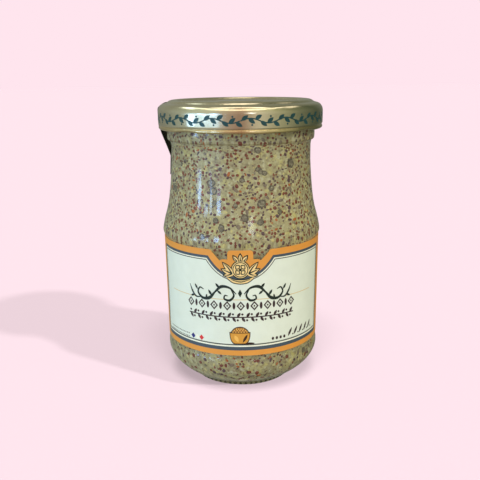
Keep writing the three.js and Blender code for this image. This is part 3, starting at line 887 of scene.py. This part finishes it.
maroon_print = coated_paper("maroon print", srgb(54, 38, 44))
print_on_label("upper_row", upper_row(), 6, maroon_print)
print_on_label("lower_row", lower_row(), 6, maroon_print)


# Small printed picture at the foot of the panel: an ochre bowl heaped with seed, and its shadow.
BOWL_CENTRE, BOWL_FOOT, BOWL_RIM = -0.4, 20.9, 24.9
BOWL_HALF, BOWL_FOOT_HALF = 3.5, 1.9
HEAP_IN, HEAP_TOP = 0.4, 27.0
HEAP_ROWS = ((25.25, 2.5), (25.85, 2.0), (26.4, 1.2))
BOWL_LINE = 0.3


def bowl_outline(grow):
    """Side of the bowl from rim to rim, larger all round by an amount."""
    half, foot = BOWL_HALF + grow, BOWL_FOOT_HALF + grow
    right = curve((foot, BOWL_FOOT - grow), (half, BOWL_FOOT + 0.6), (half, BOWL_RIM + grow), steps=8)
    left = (right * [-1, 1])[::-1]
    corners = [(-foot, BOWL_FOOT - grow), (foot, BOWL_FOOT - grow)]
    return np.vstack([left, corners, right]) + [BOWL_CENTRE, 0]


def heap_outline(grow):
    """The heaped seed above the rim, larger all round by an amount."""
    half = BOWL_HALF - HEAP_IN + grow
    right = chained((half, BOWL_RIM), ((half * 0.7, HEAP_TOP + grow), (0, HEAP_TOP + grow), 6))
    return np.vstack([right, (right[:-1] * [-1, 1])[::-1]]) + [BOWL_CENTRE, 0]


def heaped_seeds():
    """Light seeds on the heap, one fewer in each higher row."""
    patches = []
    for row, (height, half) in enumerate(HEAP_ROWS):
        for s in np.linspace(-half, half, 6 - row):
            patches.append(oval((BOWL_CENTRE + s, height), 0.26, 0.24, 10))
    return patches


outline_print = coated_paper("brown print", srgb(46, 30, 26))
ochre_print = coated_paper("ochre print", srgb(206, 148, 62))
light_ochre_print = coated_paper("light ochre print", srgb(228, 180, 92))
shade_ochre_print = coated_paper("deep ochre print", srgb(150, 96, 48))
bowl_shadow = oval((BOWL_CENTRE + 2.6, BOWL_FOOT - 0.05), 2.7, 0.42)
bowl_rim = [(BOWL_CENTRE - BOWL_HALF, BOWL_RIM), (BOWL_CENTRE + BOWL_HALF, BOWL_RIM)]
bowl_light = leaf((BOWL_CENTRE - 1.9, 24.0), (BOWL_CENTRE - 0.6, 21.4), 1.3)
bowl_shade = leaf((BOWL_CENTRE + 2.7, 24.3), (BOWL_CENTRE + 1.0, 21.2), 0.9)
bowl_lines = [bowl_shadow, bowl_outline(BOWL_LINE), heap_outline(BOWL_LINE)]
rim_line = stroke(bowl_rim, (BOWL_LINE, BOWL_LINE), steps=8)
print_on_label("bowl_outline", bowl_lines, 5, outline_print)
print_on_label("bowl_body", [bowl_outline(-0.02)], 6, ochre_print)
print_on_label("bowl_heap", [heap_outline(-0.05)], 6, shade_ochre_print)
print_on_label("bowl_light", [bowl_light, *heaped_seeds()], 7, light_ochre_print)
print_on_label("bowl_shade", [bowl_shade, rim_line], 7, outline_print)


# Small printed marks in the panel's lower corners: rows of dots and three coloured squares on edge
# at the left, and a row of seeds that grows in size at the right.
DOT_ROW_ENDS, DOT_ROW_COUNT, DOT_ROW_HEIGHTS = (-33.0, -21.2), 14, (21.0, 22.2)
MARK_HEIGHT, MARK_HALF_WIDTH, MARK_HALF_HEIGHT = 21.8, 1.0, 1.05
SEED_HEIGHT = 21.9
SMALL_SEEDS = (11.8, 13.4, 15.0, 16.6)
LARGE_SEEDS = (19.2, 22.0, 24.8, 27.6, 30.4)

grey_print = coated_paper("grey print", srgb(112, 112, 102))
blue_print = coated_paper("blue print", srgb(40, 44, 120))
red_print = coated_paper("red print", srgb(206, 52, 56))
MARKS = (
    ("mark_blue", -19.0, blue_print), ("mark_white", -17.1, white_print), ("mark_red", -15.2, red_print),
)
dot_places = np.linspace(*DOT_ROW_ENDS, DOT_ROW_COUNT)
dots = [oval((s, z), 0.3, 0.26, 8) for z in DOT_ROW_HEIGHTS for s in dot_places]
print_on_label("dot_rows", dots, 5, grey_print)
for name, s, finish in MARKS:
    print_on_label(name, [lozenge((s, MARK_HEIGHT), MARK_HALF_WIDTH, MARK_HALF_HEIGHT)], 5, finish)
seed_row = [oval((s, SEED_HEIGHT), 0.5, 0.6, 12) for s in SMALL_SEEDS]
seed_row += [leaf((s - 0.9, 21.5), (s + 0.9, 24.6), 1.0) for s in LARGE_SEEDS]
seed_row += [oval((s + 1.35, SEED_HEIGHT), 0.32, 0.32, 10) for s in LARGE_SEEDS]
print_on_label("seed_row", seed_row, 5, maroon_print)


# Lid: a twist-off cap pressed from thin tinplate and varnished pale gold, with a raised rim round
# its top, a safety button in the middle, and an edge rolled under and pinched in at four lugs.
lid_low, lid_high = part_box("lid")
LID_LOW, LID_TOP = lid_low.z / MM, lid_high.z / MM
LID_RADIUS = (lid_high.x - lid_low.x) / 2 / MM
LID_TURNS = 320
LID_THICKNESS = 0.4
PANEL_DROP, PANEL_SAG, PANEL_SAG_OUT = 0.7, 0.1, 6.0
BUTTON_RADIUS, BUTTON_RISE, BUTTON_EDGE, BUTTON_ROUND = 9.0, 0.3, 1.2, 0.5
WELL_EDGE, WELL_ROUND, WELL_SLOPE = 0.8, 0.3, 0.7
CREST_RADIUS, CREST_OUTER, CREST_INNER = 24.8, 26.8, 23.0
CREST_ROUND, CREST_DROP = 0.9, 0.75
STEP_OUT_PULL, STEP_DROP_PULL = 0.25, 0.95
STEP_OUT, STEP_DROP = 0.7, 1.05
SLOPE_IN_PULL, SLOPE_DROP_PULL = 1.0, 1.4
SLOPE_IN, SLOPE_DROP = 0.6, 2.2
TURN_DOWN = 3.0
SKIRT_HIGH, SKIRT_LOW = 101.0, 97.0
GROOVE_DEPTH, GROOVE_HALF, GROOVE_HEIGHT = 0.2, 0.5, 0.75
CURL_RADIUS, CURL_IN = 0.75, 0.1
CURL_FROM, CURL_TO, CURL_POINTS = 60, -190, 19
LUG_FIRST, LUG_COUNT, LUG_HALF = -39.0, 4, 10.0
LUG_PINCH, LUG_INNER_PINCH = 0.35, 0.9
LID_GOLD, LID_GOLD_DULL, LID_EDGE_GOLD = srgb(228, 218, 194), srgb(220, 208, 182), srgb(228, 206, 164)


def lid_face(lowered):
    """Upper side of the lid from the middle out to the skirt, lowered by a thickness."""
    panel, crest = LID_TOP - PANEL_DROP - lowered, LID_TOP - lowered
    reach = LID_RADIUS - lowered
    return chained(
        (0, panel + BUTTON_RISE),
        ((BUTTON_RADIUS - BUTTON_EDGE, panel + BUTTON_RISE), 5),
        ((BUTTON_RADIUS - BUTTON_ROUND, panel + BUTTON_RISE), (BUTTON_RADIUS, panel), 5),
        ((BUTTON_RADIUS + PANEL_SAG_OUT, panel - PANEL_SAG), (CREST_INNER - WELL_EDGE, panel), 10),
        ((CREST_INNER, panel), (CREST_INNER + WELL_ROUND, panel + WELL_ROUND), 4),
        ((CREST_INNER + WELL_SLOPE, crest), (CREST_RADIUS, crest), 6),
        ((CREST_OUTER - CREST_ROUND, crest), (CREST_OUTER, crest - CREST_DROP), 7),
        ((CREST_OUTER + STEP_OUT_PULL, crest - STEP_DROP_PULL),
         (CREST_OUTER + STEP_OUT, crest - STEP_DROP), 4),
        ((reach - SLOPE_IN_PULL, crest - SLOPE_DROP_PULL), (reach - SLOPE_IN, crest - SLOPE_DROP), 6),
        ((reach, crest - TURN_DOWN), (reach, SKIRT_HIGH - lowered), 5),
    )


def curl_section():
    """The rolled edge: the skirt turns in over a shallow groove, then round and up inside itself."""
    inside = LID_RADIUS - LID_THICKNESS
    middle = np.array([LID_RADIUS - CURL_IN - CURL_RADIUS, LID_LOW + CURL_RADIUS])
    sweep = np.radians(np.linspace(CURL_FROM, CURL_TO, CURL_POINTS))
    roll = middle + CURL_RADIUS * np.stack([np.cos(sweep), np.sin(sweep)], axis=1)
    skirt = chained(
        (LID_RADIUS, SKIRT_HIGH),
        ((LID_RADIUS, SKIRT_LOW), 6),
        ((LID_RADIUS, SKIRT_LOW - GROOVE_HALF), (LID_RADIUS - GROOVE_DEPTH, SKIRT_LOW - GROOVE_HEIGHT), 5),
    )
    back_up = chained(
        roll[-1],
        ((LID_RADIUS - 1.2, SKIRT_LOW - 0.3), (inside, SKIRT_LOW), 5),
        ((inside, SKIRT_HIGH - LID_THICKNESS), 4),
    )
    return np.vstack([skirt[1:], roll, back_up[1:-1]])


def pinched(angle, radius, height):
    """Pinches the rolled edge in and up at each lug."""
    turns = np.degrees(angle) + 90 - LUG_FIRST
    spacing = 360 / LUG_COUNT
    off = (turns + spacing / 2) % spacing - spacing / 2
    pinch = np.clip(1 - (off / LUG_HALF) ** 2, 0, 1) ** 0.8
    low = np.clip((SKIRT_LOW - 0.2 - height) / 1.4, 0, 1)
    inner = np.clip((LID_RADIUS - 0.6 - radius) / 1.2, 0, 1) * (height < SKIRT_LOW)
    radius = radius - pinch * (LUG_PINCH * low + LUG_INNER_PINCH * inner)
    height = height + pinch * LUG_PINCH * low * (height < LID_LOW + 1.6)
    return radius, height


def varnished_tinplate():
    """Satin pale gold, a deeper gold on the rolled edge, with the fine grain of rolled tinplate."""
    finish, tree, shader, place = new_finish("varnished tinplate", Metallic=1.0)
    height = node(tree, "SeparateXYZ", {0: place}).outputs[2]
    edge = share_between(tree, height, (SKIRT_LOW - 0.7) * MM, (SKIRT_LOW - 1.0) * MM)
    gold = blend(tree, uneven(tree, place, 160), LID_GOLD, LID_GOLD_DULL)
    tree.links.new(blend(tree, edge, gold, LID_EDGE_GOLD), shader.inputs["Base Color"])
    tree.links.new(uneven(tree, place, 900, 0.13, 0.21, detail=6.0), shader.inputs["Roughness"])
    relief(tree, shader, uneven(tree, place, 420), 0.03, 0.35)
    return finish


lid_profile = np.vstack([lid_face(0), curl_section(), lid_face(LID_THICKNESS)[::-1]])
lid = add_piece("tinplate_lid", *turned(lid_profile[::-1], LID_TURNS, pinched), varnished_tinplate())
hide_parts("lid")
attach(lid, "root")


# Printed band round the lid's skirt: a running vine with paired leaves and dots, in dark teal ink.
VINE_WAVES, VINE_STEPS = 15, 25
VINE_HEIGHT, VINE_SWING = 99.0, 0.8
VINE_STEM = 0.42
VINE_LEAF_ALONG, VINE_LEAF_UP, VINE_LEAF_WIDTH = 2.262, 1.682, 1.4
VINE_LOW, VINE_HIGH = 97.15, 100.85
VINE_DOT_AWAY, VINE_DOT = 1.35, 0.34
# Places along one wave, each above the stem or below it.
VINE_LEAVES = ((0.02, 1), (0.2, -1), (0.38, 1), (0.52, -1), (0.7, 1), (0.88, -1))
VINE_DOTS = ((0.3, -1), (0.8, 1))


def vine():
    """A waving stem round the lid with leaves and dots along it."""
    length = 2 * math.pi * LID_RADIUS / VINE_WAVES
    patches = []
    for i in range(VINE_WAVES):
        start = i * length
        s = start + np.linspace(0, length, VINE_STEPS)
        path = np.stack([s, VINE_HEIGHT + VINE_SWING * np.sin((s - start) / length * 2 * math.pi)], axis=1)
        patches.append(stroke(path, np.full(len(path), VINE_STEM), steps=1))
        for share, side in VINE_LEAVES:
            swing = VINE_SWING * math.sin(share * 2 * math.pi)
            base = np.array([start + share * length, VINE_HEIGHT + swing])
            tip = base + [VINE_LEAF_ALONG, side * VINE_LEAF_UP]
            tip[1] = np.clip(tip[1], VINE_LOW, VINE_HIGH)
            patches.append(leaf(base, tip, VINE_LEAF_WIDTH))
        for share, side in VINE_DOTS:
            dot = (start + share * length, VINE_HEIGHT + side * VINE_DOT_AWAY)
            patches.append(oval(dot, VINE_DOT, VINE_DOT, 10))
    return patches


def lid_ink():
    """Teal ink under the varnish, a little glossy."""
    finish, tree, shader, place = new_finish("teal lid ink", Roughness=0.3, Metallic=0.25)
    tone = uneven(tree, place, 600)
    tree.links.new(blend(tree, tone, srgb(36, 74, 80), srgb(30, 62, 66)), shader.inputs["Base Color"])
    relief(tree, shader, uneven(tree, place, 900), 0.02, 0.3)
    return finish


vine_plate = wrapped_plate(vine(), LID_RADIUS - 0.02, LID_RADIUS + 0.02, turn=0, taper=0)
vine_band = add_piece("lid_vine", *vine_plate, lid_ink(), sharp=40)
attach(vine_band, "root")


# Paper seal: a strip glued over the lid's edge and down to the neck, so that it tears
# when the lid is first turned. It runs free between the lid and the glass. Its dark olive is painted shade.
SEAL_WIDTH, SEAL_TURN = 16.0, 16.0
SEAL_INNER, SEAL_THICKNESS = 0.12, 0.18
SEAL_COLUMNS = 24
SEAL_HEAD, SEAL_FOOT = (27.5, 104.0), (26.35, 77.5)
SEAL_STEP_PULL, SEAL_STEP = (28.55, 103.5), (29.05, 103.1)
SEAL_SLOPE, SEAL_ON_SKIRT = (29.95, 102.3), LID_RADIUS + 0.05
SEAL_LEAVES_LID, SEAL_ON_GLASS = 97.2, 84.6
SEAL_RIPPLE, SEAL_FREE = 0.05, 94.0
SEAL_STRIPE = 3.1
# The two dark olive tones are painted shade; the pale one is the stripe.
SEAL_SHADE, SEAL_DEEP_SHADE, SEAL_PALE = srgb(70, 66, 50), srgb(54, 52, 40), srgb(112, 108, 84)


def seal_course():
    """The strip's way down the side, as radius and height, over the lid and in to the neck."""
    return chained(
        SEAL_HEAD,
        (SEAL_STEP_PULL, SEAL_STEP, 4),
        (SEAL_SLOPE, 3),
        ((SEAL_ON_SKIRT, 101.9), (SEAL_ON_SKIRT, SKIRT_HIGH), 4),
        ((LID_RADIUS, SEAL_LEAVES_LID), 6),
        ((LID_RADIUS, 96.3), (LID_RADIUS - 0.25, 95.3), 4),
        ((27.2, 88.0), (WAIST_RADIUS, SEAL_ON_GLASS), 12),
        ((WAIST_RADIUS, 82.0), SEAL_FOOT, 8),
    )


def seal_strip():
    """The strip as a closed plate, its width bent round the jar at each height."""
    course = seal_course()
    across = np.linspace(-SEAL_WIDTH / 2, SEAL_WIDTH / 2, SEAL_COLUMNS + 1)
    middle = math.radians(180 - SEAL_TURN)
    points = []
    for off in (SEAL_INNER, SEAL_INNER + SEAL_THICKNESS):
        for radius, height in course:
            angle = middle + np.arcsin(across / (radius + off))
            ripple = SEAL_RIPPLE * np.sin(across * 1.1 + height * 0.6)
            reach = radius + off + ripple * (height < SEAL_FREE)
            level = np.full(len(across), height)
            points.append(np.stack([reach * np.cos(angle), reach * np.sin(angle), level], axis=1))
    rows, columns = len(course), len(across)
    number = np.arange(2 * rows * columns).reshape(2, rows, columns)
    faces = []
    for i in range(rows - 1):
        for j in range(columns - 1):
            under, over = number[0], number[1]
            faces.append([over[i, j], over[i + 1, j], over[i + 1, j + 1], over[i, j + 1]])
            faces.append([under[i, j], under[i, j + 1], under[i + 1, j + 1], under[i + 1, j]])
    rim = [(0, j) for j in range(columns)] + [(i, columns - 1) for i in range(1, rows)]
    rim += [(rows - 1, j) for j in range(columns - 2, -1, -1)] + [(i, 0) for i in range(rows - 2, 0, -1)]
    for (i, j), (k, m) in zip(rim, rim[1:] + rim[:1]):
        faces.append([number[0, i, j], number[1, i, j], number[1, k, m], number[0, k, m]])
    return np.vstack(points), [[int(i) for i in face] for face in faces]


def painted_shade_seal_paper():
    """Paper painted dark olive for the shade it lies in, with a lighter stripe down its middle and a
    fibrous surface.
    """
    finish, tree, shader, place = new_finish("seal paper painted shade", Roughness=0.55)
    turn = math.radians(180 - SEAL_TURN)
    side = (-math.sin(turn), math.cos(turn), 0)
    aside = node(tree, "VectorMath", {0: place, 1: side}, operation="DOT_PRODUCT").outputs["Value"]
    aside = worked_out(tree, "ABSOLUTE", aside)
    stripe = share_between(tree, aside, (SEAL_STRIPE + 0.3) * MM, SEAL_STRIPE * MM)
    # Painted shade: the paper is coloured dark olive for the shade it lies in.
    dark = blend(tree, uneven(tree, place, 420), SEAL_SHADE, SEAL_DEEP_SHADE)
    tree.links.new(blend(tree, stripe, dark, SEAL_PALE), shader.inputs["Base Color"])
    relief(tree, shader, uneven(tree, place, 1700, detail=6.0), 0.05, 0.5)
    return finish


seal = add_piece("paper_seal", *seal_strip(), painted_shade_seal_paper(), sharp=50)
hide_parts("seal")
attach(seal, "root")


# Table top: a plain pale floor, in studio light that is cool from the left and warm from the right.
# It is bright and even, and only the jar's long shadow and the dark line under the foot show on it.
FLOOR_SIZE = 12.0
FLOOR_COLOUR = srgb(255, 229, 238)
FLOOR_PAINT = 0.02
# The two shadows on the floor: the turn, height and size of the lamp that draws each, and its share.
LONG_SHADOW = (57.0, 40.0, 3.0, 0.165)
FOOT_SHADOW = (0.0, 70.0, 22.0, 0.36)
ROOM_SHARE = 0.012
FLOOR_GLOW = 1 - LONG_SHADOW[-1] - FOOT_SHADOW[-1] - ROOM_SHARE


def pale_floor():
    """A sheet that glows of itself, so that the shadows on it stay pale."""
    mesh = bpy.data.meshes.new("floor")
    half = FLOOR_SIZE / 2
    corners = [(-half, -half, 0), (half, -half, 0), (half, half, 0), (-half, half, 0)]
    mesh.from_pydata(corners, [], [(0, 1, 2, 3)])
    finish, tree, shader, place = new_finish("pale floor", Roughness=1.0, Specular_IOR_Level=0.0)
    grain = uneven(tree, place, 900, 0.97, 1.03)
    paint = node(tree, "VectorMath", {0: [c * FLOOR_PAINT for c in FLOOR_COLOUR[:3]], 1: grain},
                 operation="MULTIPLY").outputs[0]
    tree.links.new(paint, shader.inputs["Base Color"])
    shader.inputs["Emission Color"].default_value = FLOOR_COLOUR
    shader.inputs["Emission Strength"].default_value = FLOOR_GLOW
    mesh.materials.append(finish)
    floor = bpy.data.objects.new("floor", mesh)
    bpy.context.scene.collection.objects.link(floor)
    floor.visible_diffuse = False
    floor.visible_glossy = False
    floor.visible_transmission = False
    floor.visible_shadow = False
    return floor


def far_lamp(name, turn, rise, size, power, colour):
    """A lamp far off, seen from the jar by its compass direction and height."""
    lamp = bpy.data.lights.new(name, "SUN")
    lamp.energy, lamp.angle, lamp.color = power, math.radians(size), colour
    shining = bpy.data.objects.new(name, lamp)
    turn, rise = math.radians(turn), math.radians(rise)
    way = Vector((math.sin(turn) * math.cos(rise), -math.cos(turn) * math.cos(rise), math.sin(rise)))
    shining.rotation_euler = way.to_track_quat("Z", "Y").to_euler()
    shining.visible_glossy = False
    shining.visible_transmission = False
    bpy.context.scene.collection.objects.link(shining)
    return shining


def light_floor(floor):
    """Two lamps that reach the floor alone: one draws the long shadow, one the dark line under the foot."""
    alone = bpy.data.collections.new("floor alone")
    alone.objects.link(floor)
    for name, (turn, rise, size, share) in (("long shadow", LONG_SHADOW), ("foot shadow", FOOT_SHADOW)):
        power = share * math.pi / FLOOR_PAINT / math.sin(math.radians(rise))
        lamp = far_lamp(name, turn, rise, size, power, (1.0, 1.0, 1.0))
        lamp.light_linking.receiver_collection = alone


def ramp(tree, value, low, high, stops):
    """Colours along a value between two limits, one at each stop."""
    made = node(tree, "ValToRGB", {"Fac": share_between(tree, value, low, high)})
    elements = made.color_ramp.elements
    while len(elements) < len(stops):
        elements.new(0.5)
    for element, (place, colour) in zip(elements, stops):
        element.position = (place - low) / (high - low)
        element.color = (*colour, 1)
    return made.outputs[0]


def band(tree, value, low, high, soft):
    """One between two limits and nought outside them, with soft edges."""
    edges = []
    for limit, way in ((low, soft), (high, -soft)):
        edge = node(tree, "MapRange", {"Value": value, "From Min": limit - way, "From Max": limit + way},
                    interpolation_type="SMOOTHSTEP")
        edges.append(edge.outputs[0])
    return worked_out(tree, "MULTIPLY", *edges)


# The room's light by its turn, in degrees from the camera's side to the right, and how much stronger
# or weaker it is at each rise above or below the level, in degrees too.
ROUND_STOPS = (
    (-180, (0.22, 0.23, 0.19)), (-130, (0.24, 0.26, 0.22)), (-100, (0.32, 0.37, 0.33)),
    (-70, (0.45, 0.52, 0.46)), (-40, (0.50, 0.52, 0.45)), (-14, (0.40, 0.31, 0.25)),
    (2, (0.34, 0.23, 0.18)), (24, (0.62, 0.60, 0.48)), (40, (0.46, 0.46, 0.34)),
    (60, (0.34, 0.36, 0.24)), (88, (0.16, 0.18, 0.12)), (130, (0.07, 0.09, 0.06)),
    (180, (0.22, 0.23, 0.19)),
)
RISE_STOPS = (
    (-90, (0.4, 0.4, 0.4)), (-50, (0.7, 0.7, 0.7)), (-25, (1.2, 1.15, 1.15)), (-8, (1.0, 1.0, 1.0)),
    (12, (1.25, 1.25, 1.25)), (40, (1.3, 1.3, 1.2)), (66, (1.5, 1.45, 1.3)), (90, (2.0, 1.9, 1.7)),
)
# Windows and bright bands, each as its turn, half width, lowest and highest rise, softness and light.
# Those right behind the jar are given twice, once at each end of the turn.
WINDOWS = (
    (-52.0, 24.0, -14.0, 7.0, 5.0, (0.34, 0.6, 0.86)),
    (-69.5, 2.2, -2.4, 2.8, 1.2, (3.2, 5.8, 10.2)),
    (-70.5, 5.0, -3.0, -2.0, 1.2, (4.0, 6.8, 11.4)),
    (-57.0, 3.0, 2.4, 8.5, 1.4, (2.1, 3.8, 6.8)),
    (-49.5, 1.8, -1.0, 6.0, 1.0, (2.2, 4.2, 8.0)),
    (-35.8, 3.4, 1.2, 8.0, 1.2, (2.8, 6.0, 12.0)),
    (14.6, 3.8, 15.0, 19.0, 1.4, (4.8, 5.4, 6.2)),
    (16.6, 1.6, 9.0, 14.0, 0.8, (2.6, 2.8, 3.2)),
    (0.0, 110.0, 56.0, 61.0, 8.0, (2.6, 2.4, 1.9)),
    (180.0, 120.0, 70.0, 80.0, 8.0, (2.6, 2.4, 2.0)),
    (-180.0, 100.0, 70.0, 80.0, 8.0, (2.6, 2.4, 2.0)),
    (180.0, 50.0, -60.0, -48.0, 6.0, (0.2, 0.19, 0.14)),
    (-180.0, 50.0, -60.0, -48.0, 6.0, (0.2, 0.19, 0.14)),
    (180.0, 2.5, -58.0, -51.0, 0.8, (0.6, 0.5, 0.36)),
    (-180.0, 2.5, -58.0, -51.0, 0.8, (0.6, 0.5, 0.36)),
    (-118.0, 26.0, 44.0, 54.0, 8.0, (2.2, 2.5, 2.3)),
    (118.0, 26.0, 44.0, 54.0, 8.0, (1.1, 1.0, 0.8)),
)
RISE_SOFTNESS = 2.5
NARROW_WINDOW = 6.0
PANES = (14.0, 0.6, 1.5)


def room_light():
    """The room as the jar sees it by compass direction and height, and the floor's colour to the camera."""
    world = bpy.data.worlds.new("studio")
    bpy.context.scene.world = world
    world.use_nodes = True
    tree = world.node_tree
    background = tree.nodes["Background"]
    direction = node(tree, "TexCoord").outputs["Generated"]
    x, y, z = node(tree, "SeparateXYZ", {0: direction}).outputs
    turn = worked_out(tree, "ARCTAN2", x, worked_out(tree, "MULTIPLY", y, -1.0))
    turn = worked_out(tree, "MULTIPLY", turn, 180 / math.pi)
    rise = worked_out(tree, "MULTIPLY", worked_out(tree, "ARCSINE", z), 180 / math.pi)
    around = ramp(tree, turn, -180.0, 180.0, ROUND_STOPS)
    upright = ramp(tree, rise, -90.0, 90.0, RISE_STOPS)
    light = blend(tree, 1.0, around, upright, "MULTIPLY")
    panes = uneven(tree, direction, *PANES, detail=2.0)
    for middle, half, low, high, soft, colour in WINDOWS:
        across = band(tree, turn, middle - half, middle + half, soft)
        shape = worked_out(tree, "MULTIPLY", across, band(tree, rise, low, high, RISE_SOFTNESS))
        if half < NARROW_WINDOW:
            shape = worked_out(tree, "MULTIPLY", shape, panes)
        light = blend(tree, shape, light, (*colour, 1), "ADD")
    seen = node(tree, "LightPath").outputs["Is Camera Ray"]
    tree.links.new(blend(tree, seen, light, FLOOR_COLOUR), background.inputs["Color"])


pale_floor()
light_floor(bpy.data.objects["floor"])
room_light()
far_lamp("warm light", 74.0, 22.0, 14.0, 1.25, (1.0, 0.93, 0.80))
far_lamp("cool light", -78.0, 10.0, 50.0, 0.75, (0.85, 0.97, 1.0))
far_lamp("ceiling light", 0.0, 30.0, 60.0, 0.85, (1.0, 0.98, 0.9))
far_lamp("light off the table", 0.0, -48.0, 60.0, 0.62, (1.0, 0.96, 0.88))
bpy.context.scene.view_settings.view_transform = "Standard"
bpy.context.scene.cycles.caustics_refractive = False
bpy.context.scene.cycles.caustics_reflective = False


# Camera: where the photograph was taken from, a little above the lid and looking down at the label.
CAMERA_PLACE = (-0.62, -248.7, 113.8)
CAMERA_TILT, CAMERA_ROLL = 14.05, -0.64
CAMERA_LENS, CAMERA_SENSOR = 49.74, 36.0

lens = bpy.data.cameras.new("camera")
lens.lens, lens.sensor_width = CAMERA_LENS, CAMERA_SENSOR
lens.clip_start, lens.clip_end = 0.01, 50.0
camera = bpy.data.objects.new("camera", lens)
tilt = Matrix.Rotation(math.radians(90 - CAMERA_TILT), 4, "X")
roll = Matrix.Rotation(math.radians(CAMERA_ROLL), 4, "Z")
camera.matrix_world = Matrix.Translation(Vector(CAMERA_PLACE) * MM) @ tilt @ roll
bpy.context.scene.collection.objects.link(camera)
bpy.context.scene.camera = camera
